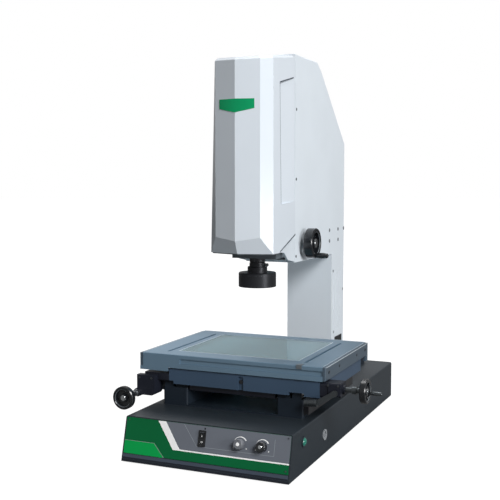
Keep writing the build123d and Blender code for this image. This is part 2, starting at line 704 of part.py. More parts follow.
with BuildPart() as table_end_plates:
    for plate_left in (-TABLE_WIDTH / 2, FRAME_HALF_X):
        with BuildSketch(along(plate_left)):
            span(TABLE_FRONT + 1.0, TABLE_BACK - 1.0, TABLE_BOTTOM + 0.5, TABLE_TOP - 1.0)
        extrude(amount=END_PLATE)
    with BuildSketch(along(FRAME_HALF_X)):
        span(TABLE_BACK - 13.0, TABLE_BACK - 1.0, BRACKET_LOW, TABLE_TOP - 1.0)
    extrude(amount=END_PLATE)
    with BuildSketch(along(TABLE_WIDTH / 2)):
        with Locations((OPTICAL_Y, 181.0)):
            with GridLocations(2 * PLATE_HOLES_Y, 0, 2, 1):
                Circle(3.4)
        with Locations((TABLE_BACK - 7.0, BRACKET_LOW + 6.0)):
            Circle(2.6)
    extrude(amount=-3.0, mode=Mode.SUBTRACT)
    chamfer(table_end_plates.faces().sort_by(Axis.X)[-1].outer_wire().edges(), 0.8)
table_end_plates.part.label = "table_end_plates"
export_step(table_end_plates.part, "parts/table_end_plates.step")

# Glass clip hooked over the table's front edge
CLIP_LEFT = 144.0
CLIP_RIGHT = 155.0
CLIP_THICKNESS = 1.6

with BuildPart() as glass_clip:
    with BuildSketch(level(TABLE_TOP)):
        span(CLIP_LEFT, CLIP_RIGHT, TABLE_FRONT - CLIP_THICKNESS, TABLE_FRONT + 10.5)
        with Locations(((CLIP_LEFT + CLIP_RIGHT) / 2, TABLE_FRONT + 6.0)):
            Circle(2.2, mode=Mode.SUBTRACT)
    extrude(amount=CLIP_THICKNESS)
    with BuildSketch(across(TABLE_FRONT)):
        span(CLIP_LEFT, CLIP_RIGHT, TABLE_TOP - 6.5, TABLE_TOP + CLIP_THICKNESS)
    extrude(amount=CLIP_THICKNESS)
    chamfer(glass_clip.edges().filter_by(Axis.X).group_by(Axis.Z)[-1].sort_by(Axis.Y)[0], 0.8)
glass_clip.part.label = "glass_clip"
export_step(glass_clip.part, "parts/glass_clip.step")


def handwheel(plane, radius, width, bore, window_count):
    """Build a dished handwheel about a plane's normal; its open face is towards that normal."""
    rim = radius * 0.24
    hub = bore + radius * 0.14
    web_low = width * 0.22
    web_high = width * 0.46
    with BuildPart() as wheel:
        with BuildSketch(half_section(plane)):
            Polygon(
                (bore, 0),
                (radius - 1.5, 0),
                (radius, 1.5),
                (radius, width - 1.5),
                (radius - 1.5, width),
                (radius - rim + 1.0, width),
                (radius - rim, width - 1.0),
                (radius - rim - 1.5, web_high),
                (hub + 1.0, web_high),
                (hub, width * 0.85),
                (bore, width * 0.85),
                align=None,
            )
        revolve(axis=turning_axis(plane))
        with BuildSketch(half_section(plane)):
            Polygon(
                (hub + 1.0, -1),
                (hub + 1.0, web_low),
                (radius - rim - 1.0, web_low),
                (radius - rim, -1),
                align=None,
            )
        revolve(axis=turning_axis(plane), mode=Mode.SUBTRACT)
        middle = (hub + radius - rim) / 2
        if window_count:
            with BuildSketch(plane):
                with PolarLocations(middle, window_count):
                    Circle((radius - rim - hub) * 0.36)
            extrude(amount=width, mode=Mode.SUBTRACT)
    return wheel.part


def crank_grip(plane, length, radius, pin):
    """Build a barrel-shaped grip about a plane's normal, bored for the pin it spins on."""
    with BuildPart() as grip:
        with BuildSketch(half_section(plane)):
            with BuildLine():
                base = Line((pin, 0.4), (radius * 0.72, 0.4))
                swell = ThreePointArc(base @ 1, (radius, length * 0.5), (radius * 0.8, length - 1.5))
                tip = Line(swell @ 1, (radius * 0.5, length))
                end = Line(tip @ 1, (pin, length))
                Line(end @ 1, base @ 0)
            make_face()
        revolve(axis=turning_axis(plane))
    return grip.part


# Table drive: screw, handwheel, crank grip, bearing block and release lever
X_DRIVE_END = X_WHEEL_X + HANDWHEEL_WIDTH
GRIP_PIN = 2.0
X_GRIP_DY = 15.5
X_GRIP_DZ = -6.5
BLOCK_LEFT = CAP_END
BLOCK_RIGHT = 232.0
BLOCK_FRONT = -248.0
BLOCK_BACK = -213.0
BLOCK_LOW = 139.0
BLOCK_HIGH = 166.0
LEVER_X = 221.0
LEVER_Z = 147.0
LEVER_PIN = 3.0

with BuildPart() as x_drive_screw:
    with BuildSketch(along(X_GROOVE_LEFT - 6.0)):
        with Locations((X_DRIVE_Y, X_DRIVE_Z)):
            Circle(SCREW_RADIUS)
    extrude(amount=X_DRIVE_END - 3.0 - X_GROOVE_LEFT + 6.0)
    with BuildSketch(along(BLOCK_RIGHT + 18.0)):
        with Locations((X_DRIVE_Y, X_DRIVE_Z)):
            Circle(7.5)
    extrude(amount=9.0)
x_drive_screw.part.label = "x_drive_screw"
export_step(x_drive_screw.part, "parts/x_drive_screw.step")

X_WHEEL_PLANE = Plane(
    origin=(CENTRE_X + X_WHEEL_X, X_DRIVE_Y, X_DRIVE_Z), x_dir=(0, 1, 0), z_dir=(1, 0, 0)
)
with BuildPart() as x_handwheel:
    add(handwheel(X_WHEEL_PLANE, HANDWHEEL_RADIUS, HANDWHEEL_WIDTH, SCREW_RADIUS, 3))
    with BuildSketch(along(X_WHEEL_X)):
        with Locations((X_DRIVE_Y + X_GRIP_DY, X_DRIVE_Z + X_GRIP_DZ)):
            Circle(4.6)
    extrude(amount=HANDWHEEL_WIDTH)
    with BuildSketch(along(X_DRIVE_END)):
        with Locations((X_DRIVE_Y + X_GRIP_DY, X_DRIVE_Z + X_GRIP_DZ)):
            Circle(GRIP_PIN)
    extrude(amount=X_GRIP_LENGTH - 0.6)
x_handwheel.part.label = "x_handwheel"
export_step(x_handwheel.part, "parts/x_handwheel.step")

X_GRIP_PLANE = Plane(
    origin=(CENTRE_X + X_DRIVE_END, X_DRIVE_Y + X_GRIP_DY, X_DRIVE_Z + X_GRIP_DZ),
    x_dir=(0, 1, 0),
    z_dir=(1, 0, 0),
)
with BuildPart() as x_crank_grip:
    add(crank_grip(X_GRIP_PLANE, X_GRIP_LENGTH, 4.2, GRIP_PIN + RUNNING_GAP))
x_crank_grip.part.label = "x_crank_grip"
export_step(x_crank_grip.part, "parts/x_crank_grip.step")

with BuildPart() as x_drive_block:
    with BuildSketch(along(BLOCK_LEFT)):
        with Locations(((BLOCK_FRONT + BLOCK_BACK) / 2, (BLOCK_LOW + BLOCK_HIGH) / 2)):
            RectangleRounded(BLOCK_BACK - BLOCK_FRONT, BLOCK_HIGH - BLOCK_LOW, 4.0)
        with Locations((X_DRIVE_Y, X_DRIVE_Z)):
            Circle(SCREW_RADIUS + RUNNING_GAP, mode=Mode.SUBTRACT)
    extrude(amount=BLOCK_RIGHT - BLOCK_LEFT)
    with BuildSketch(along(BLOCK_RIGHT)):
        with Locations((X_DRIVE_Y, X_DRIVE_Z)):
            Circle(9.0)
            Circle(SCREW_RADIUS + RUNNING_GAP, mode=Mode.SUBTRACT)
    extrude(amount=5.0)
    with BuildSketch(across(BLOCK_FRONT)):
        with Locations((LEVER_X, LEVER_Z)):
            Circle(LEVER_PIN + RUNNING_GAP)
    extrude(amount=-10.0, mode=Mode.SUBTRACT)
x_drive_block.part.label = "x_drive_block"
export_step(x_drive_block.part, "parts/x_drive_block.step")

# Release lever: a pivoted arm with a ribbed thumb end, in front of the bearing block
LEVER_TIP_X = 188.0
LEVER_TIP_Z = 125.5
LEVER_FRONT = BLOCK_FRONT - 0.5
THUMB_REACH = 25.0
THUMB_GRIP = 7.4

with BuildPart() as x_release_lever:
    with BuildSketch(across(BLOCK_FRONT)):
        with Locations((LEVER_X, LEVER_Z)):
            Circle(LEVER_PIN)
    extrude(amount=-9.5)
    with BuildSketch(across(BLOCK_FRONT)):
        with Locations((LEVER_X, LEVER_Z)):
            Circle(LEVER_PIN)
    extrude(amount=0.5)
    with BuildSketch(across(LEVER_FRONT)):
        Polygon(
            (LEVER_X - 2.0, LEVER_Z + 4.5),
            (LEVER_TIP_X - 5.0, LEVER_TIP_Z + 4.5),
            (LEVER_TIP_X - 5.0, LEVER_TIP_Z - 3.5),
            (LEVER_TIP_X + 2.0, LEVER_TIP_Z - 3.5),
            (LEVER_X + 3.0, LEVER_Z - 4.5),
            align=None,
        )
        with Locations((LEVER_X, LEVER_Z)):
            Circle(6.0)
    extrude(amount=7.0)
    thumb_plane = Plane(
        origin=(CENTRE_X + LEVER_TIP_X, LEVER_FRONT - THUMB_GRIP + 1.2, LEVER_TIP_Z + 1.2),
        x_dir=(0, 1, 0),
        z_dir=(-1, 0, -0.08),
    )
    with BuildSketch(thumb_plane):
        Circle(THUMB_GRIP)
    extrude(amount=THUMB_REACH)
    for rib_step in range(5):
        with BuildSketch(thumb_plane.offset(4.0 + rib_step * 3.8)):
            Circle(THUMB_GRIP + 0.2)
            Circle(THUMB_GRIP - 1.0, mode=Mode.SUBTRACT)
        extrude(amount=1.6, mode=Mode.SUBTRACT)
x_release_lever.part.label = "x_release_lever"
export_step(x_release_lever.part, "parts/x_release_lever.step")

# Saddle drive: hanging bracket, screw, handwheel, and the fixed nut on the bed
BRACKET_FRONT = -260.0
BRACKET_BACK = -226.0
SCREW_END_Y = -60.0
NUT_FRONT = -165.0
NUT_BACK = -135.0

with BuildPart() as y_drive_bracket:
    with BuildSketch(across(BRACKET_FRONT)):
        span(-204.0, -163.0, 117.0, ARM_LOW)
        with Locations((Y_DRIVE_X, Y_DRIVE_Z)):
            Circle(9.0)
        with Locations((-171.0, 116.0)):
            Circle(8.0)
        span(Y_DRIVE_X, -171.0, 108.0, 118.0)
    extrude(amount=-(BRACKET_BACK - BRACKET_FRONT))
    with BuildSketch(across(BRACKET_FRONT)):
        span(-204.0, -163.0, ARM_LOW - 2, 150.0)
    extrude(amount=-(SADDLE_FRONT - BRACKET_FRONT))
    with BuildSketch(across(BRACKET_FRONT)):
        with Locations((Y_DRIVE_X, Y_DRIVE_Z)):
            Circle(SCREW_RADIUS + RUNNING_GAP)
    extrude(amount=-(BRACKET_BACK - BRACKET_FRONT), mode=Mode.SUBTRACT)
y_drive_bracket.part.label = "y_drive_bracket"
export_step(y_drive_bracket.part, "parts/y_drive_bracket.step")

with BuildPart() as y_drive_screw:
    with BuildSketch(across(Y_WHEEL_Y - HANDWHEEL_WIDTH + 3.0)):
        with Locations((Y_DRIVE_X, Y_DRIVE_Z)):
            Circle(SCREW_RADIUS)
    extrude(amount=-(SCREW_END_Y - Y_WHEEL_Y + HANDWHEEL_WIDTH - 3.0))
    with BuildSketch(across(BRACKET_FRONT - 8.0)):
        with Locations((Y_DRIVE_X, Y_DRIVE_Z)):
            Circle(7.0)
    extrude(amount=-7.7)
y_drive_screw.part.label = "y_drive_screw"
export_step(y_drive_screw.part, "parts/y_drive_screw.step")

Y_WHEEL_PLANE = Plane(
    origin=(CENTRE_X + Y_DRIVE_X, Y_WHEEL_Y, Y_DRIVE_Z), x_dir=(1, 0, 0), z_dir=(0, -1, 0)
)
with BuildPart() as y_handwheel:
    add(handwheel(Y_WHEEL_PLANE, HANDWHEEL_RADIUS, HANDWHEEL_WIDTH, SCREW_RADIUS, 0))
y_handwheel.part.label = "y_handwheel"
export_step(y_handwheel.part, "parts/y_handwheel.step")

with BuildPart() as y_nut:
    with BuildSketch(across(NUT_FRONT)):
        span(Y_DRIVE_X - 9.5, -BED_WIDTH / 2, 98.0, 124.0)
        with Locations((Y_DRIVE_X, Y_DRIVE_Z)):
            Circle(SCREW_RADIUS + RUNNING_GAP, mode=Mode.SUBTRACT)
    extrude(amount=-(NUT_BACK - NUT_FRONT))
    fillet(y_nut.edges().filter_by(Axis.Y).group_by(Axis.X)[0], 3.0)
y_nut.part.label = "y_nut"
export_step(y_nut.part, "parts/y_nut.step")

# Glass scales: one along the bed's right wall, one along the saddle's rear
with BuildPart() as y_scale:
    with BuildSketch(across(BED_FRONT + 2)):
        span(BED_WIDTH / 2, BED_WIDTH / 2 + 10.0, 96.0, 114.0)
        span(BED_WIDTH / 2 + 4.0, BED_WIDTH / 2 + 7.0, 95.0, 100.0, mode=Mode.SUBTRACT)
    extrude(amount=-(BED_WALL_BACK - BED_FRONT - 4))
    chamfer(y_scale.edges().filter_by(Axis.Y).group_by(Axis.Z)[-1], 1.2)
y_scale.part.label = "y_scale"
export_step(y_scale.part, "parts/y_scale.step")

with BuildPart() as x_scale:
    with BuildSketch(along(X_GROOVE_LEFT)):
        span(SADDLE_BACK, SADDLE_BACK + 10.0, 140.0, 153.0)
        span(SADDLE_BACK + 4.0, SADDLE_BACK + 6.5, 139.0, 144.0, mode=Mode.SUBTRACT)
    extrude(amount=X_GROOVE_RIGHT - X_GROOVE_LEFT)
    chamfer(x_scale.edges().filter_by(Axis.X).group_by(Axis.Y)[-1], 1.0)
x_scale.part.label = "x_scale"
export_step(x_scale.part, "parts/x_scale.step")

# Light under the table: finned housing through the cabinet's top, and its lens
with BuildPart() as backlight_housing:
    with BuildSketch(level(41.0)):
        with Locations((0, OPTICAL_Y)):
            Circle(LAMP_RADIUS)
    extrude(amount=BAY_FLOOR - 41.0)
    for fin_step in range(6):
        with BuildSketch(level(45.0 + fin_step * 5.5)):
            with Locations((0, OPTICAL_Y)):
                Circle(LAMP_RADIUS)
                Circle(LAMP_RADIUS - 7.0, mode=Mode.SUBTRACT)
        extrude(amount=3.0, mode=Mode.SUBTRACT)
    with BuildSketch(level(BASE_TOP - BASE_WALL)):
        with Locations((0, OPTICAL_Y)):
            Circle(LAMP_RADIUS + 8.0)
    extrude(amount=-4.0)
backlight_housing.part.label = "backlight_housing"
export_step(backlight_housing.part, "parts/backlight_housing.step")

with BuildPart() as backlight_lens:
    with BuildSketch(level(BAY_FLOOR)):
        with Locations((0, OPTICAL_Y)):
            Circle(17.0)
    extrude(amount=2.5)
    fillet(backlight_lens.faces().sort_by(Axis.Z)[-1].edges(), 1.5)
backlight_lens.part.label = "backlight_lens"
export_step(backlight_lens.part, "parts/backlight_lens.step")

# Power supply in the cabinet
SUPPLY_LEFT = -120.0
SUPPLY_RIGHT = -20.0
SUPPLY_FRONT = 70.0
SUPPLY_BACK = 220.0

with BuildPart() as power_supply:
    with BuildSketch(level(PLATE_LOW + PLATE_THICKNESS)):
        span(SUPPLY_LEFT, SUPPLY_RIGHT, SUPPLY_FRONT, SUPPLY_BACK)
    extrude(amount=42.0)
    chamfer(power_supply.faces().sort_by(Axis.Z)[-1].edges(), 1.5)
    with BuildSketch(level(PLATE_LOW + PLATE_THICKNESS + 42.0)):
        with Locations(((SUPPLY_LEFT + SUPPLY_RIGHT) / 2, (SUPPLY_FRONT + SUPPLY_BACK) / 2)):
            with GridLocations(0, 12.0, 1, 9):
                SlotOverall(60.0, 5.0)
    extrude(amount=-1.5, mode=Mode.SUBTRACT)
power_supply.part.label = "power_supply"
export_step(power_supply.part, "parts/power_supply.step")

# Mains inlet in the rear wall, flush, with a shrouded socket and three pins
with BuildPart() as mains_inlet:
    with BuildSketch(across(BACK_Y)):
        with Locations((INLET_X, INLET_Z)):
            Rectangle(INLET_WIDTH, INLET_HEIGHT)
    extrude(amount=BASE_WALL)
    with BuildSketch(across(BACK_Y - BASE_WALL)):
        with Locations((INLET_X, INLET_Z)):
            Rectangle(32.0, 24.0)
    extrude(amount=16.0)
    with BuildSketch(across(BACK_Y)):
        with Locations((INLET_X, INLET_Z)):
            RectangleRounded(24.5, 16.5, 3.0)
    extrude(amount=16.0, mode=Mode.SUBTRACT)
    with BuildSketch(across(BACK_Y - 4.0)):
        with Locations(
            (INLET_X - 7.0, INLET_Z - 2.0), (INLET_X, INLET_Z + 2.0), (INLET_X + 7.0, INLET_Z - 2.0)
        ):
            Rectangle(2.0, 4.0)
    extrude(amount=12.0)
mains_inlet.part.label = "mains_inlet"
export_step(mains_inlet.part, "parts/mains_inlet.step")

# Signal socket in the cabinet's right side
with BuildPart() as signal_socket:
    with BuildSketch(along(BASE_WIDTH / 2)):
        with Locations((SOCKET_Y, SOCKET_Z)):
            Circle(SOCKET_RADIUS)
    extrude(amount=-8.0)
    with BuildSketch(along(BASE_WIDTH / 2)):
        with Locations((SOCKET_Y, SOCKET_Z)):
            Circle(SOCKET_RADIUS + 2.0)
    extrude(amount=2.0)
    with BuildSketch(along(BASE_WIDTH / 2 + 2.0)):
        with Locations((SOCKET_Y, SOCKET_Z)):
            Circle(6.5)
    extrude(amount=-5.0, mode=Mode.SUBTRACT)
    with BuildSketch(along(BASE_WIDTH / 2 - 3.0)):
        with Locations((SOCKET_Y, SOCKET_Z)):
            with PolarLocations(3.6, 6):
                Circle(0.7)
    extrude(amount=3.0)
signal_socket.part.label = "signal_socket"
export_step(signal_socket.part, "parts/signal_socket.step")

# Switch frame and its rocker
ROCKER_DEPTH = -3.0
ROCKER_TILT = 8.0
ROCKER_PIN = 1.2

with BuildPart() as switch_frame:
    with BuildSketch(FASCIA):
        with Locations((SWITCH_X, SWITCH_V)):
            Rectangle(SWITCH_WIDTH, SWITCH_HEIGHT)
    extrude(amount=-11.0)
    with BuildSketch(FASCIA):
        with Locations((SWITCH_X, SWITCH_V)):
            RectangleRounded(15.0, 31.0, 1.5)
    extrude(amount=1.6)
    with BuildSketch(FASCIA.offset(1.6)):
        with Locations((SWITCH_X, SWITCH_V)):
            Rectangle(10.0, 25.0)
    extrude(amount=-11.0, mode=Mode.SUBTRACT)
    rocker_side = Plane(
        origin=FASCIA.from_local_coords((SWITCH_X - 6.3, SWITCH_V, ROCKER_DEPTH)),
        x_dir=FASCIA.y_dir,
        z_dir=FASCIA.x_dir,
    )
    with BuildSketch(rocker_side):
        Circle(ROCKER_PIN + RUNNING_GAP)
    extrude(amount=12.6, mode=Mode.SUBTRACT)
switch_frame.part.label = "switch_frame"
export_step(switch_frame.part, "parts/switch_frame.step")

with BuildPart() as power_rocker:
    with BuildSketch(rocker_side.offset(1.6)):
        Polygon(
            (-11.5, 2.0),
            (-11.5, 5.6),
            (-7.0, 5.0),
            (0, 4.2),
            (7.0, 5.0),
            (11.5, 5.6),
            (11.5, 2.0),
            (0, -2.6),
            align=None,
            rotation=ROCKER_TILT,
        )
    extrude(amount=9.4)
    with BuildSketch(rocker_side.offset(0.3)):
        Circle(ROCKER_PIN)
    extrude(amount=12.0)
power_rocker.part.label = "power_rocker"
export_step(power_rocker.part, "parts/power_rocker.step")

# Dimmers: bodies behind the panel, and a knob on each
DIMMER_BUSH = 5.0
KNOB_RADIUS = 10.0
KNOB_HEIGHT = 11.3
KNOB_FLUTES = 18

with BuildPart() as dimmer_pots:
    for dimmer_x in DIMMER_XS:
        with BuildSketch(FASCIA.offset(-5.5)):
            with Locations((dimmer_x, DIMMER_V)):
                Circle(9.0)
        extrude(amount=-11.0)
        with BuildSketch(FASCIA.offset(-5.5)):
            with Locations((dimmer_x, DIMMER_V)):
                Circle(DIMMER_BUSH)
        extrude(amount=7.0)
        with BuildSketch(FASCIA.offset(1.5)):
            with Locations((dimmer_x, DIMMER_V)):
                Circle(SPINDLE_RADIUS + RUNNING_GAP)
        extrude(amount=-15.0, mode=Mode.SUBTRACT)
dimmer_pots.part.label = "dimmer_pots"
export_step(dimmer_pots.part, "parts/dimmer_pots.step")


def dimmer_knob(knob_x):
    """Build a fluted knob with its spindle at a place along the front panel."""
    knob_plane = Plane(
        origin=FASCIA.from_local_coords((knob_x, DIMMER_V, 0)),
        x_dir=FASCIA.x_dir,
        z_dir=FASCIA.z_dir,
    )
    with BuildPart() as knob:
        with BuildSketch(half_section(knob_plane)):
            Polygon(
                (0, -12.0),
                (SPINDLE_RADIUS, -12.0),
                (SPINDLE_RADIUS, 2.0),
                (KNOB_RADIUS, 2.0),
                (KNOB_RADIUS - 0.7, KNOB_HEIGHT + 1.0),
                (KNOB_RADIUS - 1.8, KNOB_HEIGHT + 2.0),
                (0, KNOB_HEIGHT + 2.0),
                align=None,
            )
        revolve(axis=turning_axis(knob_plane))
        with BuildSketch(FASCIA.offset(4.0)):
            with Locations((knob_x, DIMMER_V)):
                with PolarLocations(KNOB_RADIUS + 0.3, KNOB_FLUTES):
                    Circle(0.9)
        extrude(amount=KNOB_HEIGHT, mode=Mode.SUBTRACT)
        with BuildSketch(FASCIA.offset(2.0 + KNOB_HEIGHT)):
            with Locations((knob_x, DIMMER_V + 5.5)):
                Rectangle(1.4, 5.0)
        extrude(amount=-0.8, mode=Mode.SUBTRACT)
    return knob.part


with BuildPart() as dimmer_knob_left:
    add(dimmer_knob(DIMMER_XS[0]))
dimmer_knob_left.part.label = "dimmer_knob_left"
export_step(dimmer_knob_left.part, "parts/dimmer_knob_left.step")

with BuildPart() as dimmer_knob_right:
    add(dimmer_knob(DIMMER_XS[1]))
dimmer_knob_right.part.label = "dimmer_knob_right"
export_step(dimmer_knob_right.part, "parts/dimmer_knob_right.step")

# Lamp button on the front cover's right side
BUTTON_PLANE = Plane(
    origin=(CENTRE_X + BASE_WIDTH / 2, BUTTON_Y, BUTTON_Z), x_dir=(0, 1, 0), z_dir=(1, 0, 0)
)
DOME_RADIUS = 10.2
STEM_RADIUS = BUTTON_RADIUS - 0.1
DOME_FOOT = 2.2
DOME_CENTRE = DOME_FOOT - (DOME_RADIUS**2 - STEM_RADIUS**2) ** 0.5

with BuildPart() as lamp_button:
    with BuildSketch(BUTTON_PLANE.offset(-5.0)):
        Circle(STEM_RADIUS)
    extrude(amount=5.0 + DOME_FOOT)
    with BuildSketch(BUTTON_PLANE.offset(-9.0)):
        Circle(5.5)
    extrude(amount=4.0)
    with BuildSketch(half_section(BUTTON_PLANE)):
        with BuildLine():
            foot = Line((0, DOME_FOOT), (STEM_RADIUS, DOME_FOOT))
            dome = RadiusArc(foot @ 1, (0, DOME_CENTRE + DOME_RADIUS), -DOME_RADIUS)
            Line(dome @ 1, foot @ 0)
        make_face()
    revolve(axis=turning_axis(BUTTON_PLANE))
lamp_button.part.label = "lamp_button"
export_step(lamp_button.part, "parts/lamp_button.step")

# Column: one bent sheet shell, from the foot on the bed up to the head box that reaches forward
FOOT_PLATE = 8.0
REAR_OPENING_HALF = 42.0
REAR_OPENING_LOW = 166.0
REAR_OPENING_HIGH = 624.0
REAR_SEAT_HALF = 48.2
REAR_SEAT_LOW = 159.8
REAR_SEAT_HIGH = 630.2
SHAFT_BOSS = 11.0
SIDE_GROOVES = [245.0, 265.0, 282.0, 298.0]

with BuildPart() as column:
    with BuildSketch(along(-COLUMN_HALF)):
        Polygon(
            (BOX_FRONT, BOX_BOTTOM),
            (COLUMN_FRONT, BOX_BOTTOM),
            (COLUMN_FRONT, BED_TOP),
            (COLUMN_BACK, BED_TOP),
            (COLUMN_BACK, SLOPE_FOOT_Z),
            (SLOPE_TOP_Y, SLOPE_TOP_Z),
            (BEVEL_TOP_Y, BOX_TOP),
            (BOX_FRONT, BOX_TOP),
            align=None,
        )
    extrude(amount=2 * COLUMN_HALF)
    fillet(column.faces().sort_by(Axis.X)[-1].edges().filter_by(Axis.Y).group_by(Axis.Z)[-1], 3.0)
    fillet(column.faces().sort_by(Axis.X)[0].edges().filter_by(Axis.Y).group_by(Axis.Z)[-1], 3.0)
    fillet(column.edges().filter_by(Axis.Z).group_by(Axis.Y)[-1], 3.0)
    with BuildSketch(along(-COLUMN_HALF + COLUMN_WALL)):
        Polygon(
            (BOX_FRONT - 1, BOX_BOTTOM + COLUMN_WALL),
            (COLUMN_FRONT + COLUMN_WALL, BOX_BOTTOM + COLUMN_WALL),
            (COLUMN_FRONT + COLUMN_WALL, BED_TOP + FOOT_PLATE),
            (COLUMN_BACK - COLUMN_WALL, BED_TOP + FOOT_PLATE),
            (COLUMN_BACK - COLUMN_WALL, SLOPE_FOOT_Z - 2.2),
            (SLOPE_TOP_Y - 2.0, SLOPE_TOP_Z - COLUMN_WALL),
            (BEVEL_TOP_Y - 1.5, BOX_TOP - COLUMN_WALL),
            (BOX_FRONT - 1, BOX_TOP - COLUMN_WALL),
            align=None,
        )
    extrude(amount=2 * (COLUMN_HALF - COLUMN_WALL), mode=Mode.SUBTRACT)
    with BuildSketch(across(COLUMN_BACK)):
        span(-REAR_SEAT_HALF, REAR_SEAT_HALF, REAR_SEAT_LOW, REAR_SEAT_HIGH)
    extrude(amount=2.0, mode=Mode.SUBTRACT)
    with BuildSketch(across(COLUMN_BACK)):
        span(-REAR_OPENING_HALF, REAR_OPENING_HALF, REAR_OPENING_LOW, REAR_OPENING_HIGH)
    extrude(amount=COLUMN_WALL, mode=Mode.SUBTRACT)
    with BuildSketch(along(COLUMN_HALF - COLUMN_WALL)):
        with Locations((Z_DRIVE_Y, Z_DRIVE_Z)):
            Circle(SHAFT_BOSS)
    extrude(amount=-8.0)
    with BuildSketch(along(COLUMN_HALF)):
        with Locations((Z_DRIVE_Y, Z_DRIVE_Z)):
            Circle(Z_SHAFT_RADIUS + RUNNING_GAP)
    extrude(amount=-COLUMN_WALL - 8.0, mode=Mode.SUBTRACT)
    with BuildSketch(along(COLUMN_HALF)):
        span(255.0, 313.0, 146.0, 164.0)
        for groove_y in SIDE_GROOVES:
            span(groove_y - 1.2, groove_y + 1.2, 180.0, 330.0)
    extrude(amount=-1.0, mode=Mode.SUBTRACT)
    with BuildSketch(level(BED_TOP + FOOT_PLATE)):
        with Locations((0, (COLUMN_FRONT + COLUMN_BACK) / 2)):
            with GridLocations(84.0, 64.0, 2, 2):
                Circle(4.5)
    extrude(amount=-FOOT_PLATE + 3.0, mode=Mode.SUBTRACT)
column.part.label = "column"
export_step(column.part, "parts/column.step")

with BuildPart() as rear_cover:
    with BuildSketch(across(COLUMN_BACK)):
        span(-48.0, 48.0, 160.0, 630.0)
        with Locations((0, 230.0)):
            with GridLocations(0, 10.0, 1, 7):
                SlotOverall(56.0, 4.0, mode=Mode.SUBTRACT)
    extrude(amount=2.0)
rear_cover.part.label = "rear_cover"
export_step(rear_cover.part, "parts/rear_cover.step")

# Backbone in the head box, with the lead screw's two bearing brackets, and the upright guides
BACKBONE_BACK = 60.0
BRACKET_HALF = 18.0

with BuildPart() as z_backbone:
    with BuildSketch(level(385.0)):
        span(-COLUMN_HALF + COLUMN_WALL, COLUMN_HALF - COLUMN_WALL, Z_RAIL_BACK, BACKBONE_BACK)
    extrude(amount=BOX_TOP - COLUMN_WALL - 385.0)
    for bracket_low, bracket_height in ((428.0, 10.0), (795.0, 12.0)):
        with BuildSketch(level(bracket_low)):
            span(-BRACKET_HALF, BRACKET_HALF, 8.0, Z_RAIL_BACK)
        extrude(amount=bracket_height)
    with BuildSketch(level(428.0)):
        with Locations((0, Z_DRIVE_Y)):
            Circle(Z_SCREW_RADIUS + RUNNING_GAP)
    extrude(amount=BOX_TOP - 428.0, mode=Mode.SUBTRACT)
z_backbone.part.label = "z_backbone"
export_step(z_backbone.part, "parts/z_backbone.step")

with BuildPart() as z_rails:
    for rail_side in (-1, 1):
        rail_plane = Plane(
            origin=(CENTRE_X + rail_side * Z_RAIL_X, Z_RAIL_BACK, 800.0),
            x_dir=(1, 0, 0),
            z_dir=(0, 0, -1),
        )
        with BuildSketch(rail_plane):
            rail_profile(RAIL_WIDTH, RAIL_WAIST, RAIL_HEIGHT)
        extrude(amount=400.0)
z_rails.part.label = "z_rails"
export_step(z_rails.part, "parts/z_rails.step")

# Vertical drive: lead screw and cross shaft with mitre wheels, handwheel and crank grip
SCREW_TOP = 803.0
MITRE_LARGE = 13.6
MITRE_SMALL = 8.0
MITRE_GAP = 0.4
Z_GRIP_DY = -4.0
Z_GRIP_DZ = -27.0

Z_SCREW_PLANE = Plane(origin=(CENTRE_X, Z_DRIVE_Y, Z_DRIVE_Z), x_dir=(1, 0, 0), z_dir=(0, 0, 1))
Z_SHAFT_PLANE = Plane(origin=(CENTRE_X, Z_DRIVE_Y, Z_DRIVE_Z), x_dir=(0, 1, 0), z_dir=(1, 0, 0))

with BuildPart() as z_screw:
    with BuildSketch(half_section(Z_SCREW_PLANE)):
        Polygon(
            (0, MITRE_SMALL + MITRE_GAP),
            (MITRE_SMALL, MITRE_SMALL + MITRE_GAP),
            (MITRE_LARGE, MITRE_LARGE + MITRE_GAP),
            (MITRE_LARGE - 1.4, MITRE_LARGE + MITRE_GAP + 1.2),
            (Z_SCREW_RADIUS, MITRE_LARGE + MITRE_GAP + 1.2),
            (Z_SCREW_RADIUS, SCREW_TOP - Z_DRIVE_Z),
            (0, SCREW_TOP - Z_DRIVE_Z),
            align=None,
        )
    revolve(axis=turning_axis(Z_SCREW_PLANE))
z_screw.part.label = "z_screw"
export_step(z_screw.part, "parts/z_screw.step")

with BuildPart() as z_drive_shaft:
    with BuildSketch(half_section(Z_SHAFT_PLANE)):
        Polygon(
            (0, MITRE_SMALL + MITRE_GAP),
            (MITRE_SMALL, MITRE_SMALL + MITRE_GAP),
            (MITRE_LARGE, MITRE_LARGE + MITRE_GAP),
            (MITRE_LARGE - 1.4, MITRE_LARGE + MITRE_GAP + 1.2),
            (Z_SHAFT_RADIUS, MITRE_LARGE + MITRE_GAP + 1.2),
            (Z_SHAFT_RADIUS, 59.0),
            (8.5, 59.0),
            (8.5, 66.0),
            (Z_SHAFT_RADIUS, 66.0),
            (Z_SHAFT_RADIUS, Z_WHEEL_X + Z_WHEEL_WIDTH - 3.0),
            (0, Z_WHEEL_X + Z_WHEEL_WIDTH - 3.0),
            align=None,
        )
    revolve(axis=turning_axis(Z_SHAFT_PLANE))
z_drive_shaft.part.label = "z_drive_shaft"
export_step(z_drive_shaft.part, "parts/z_drive_shaft.step")

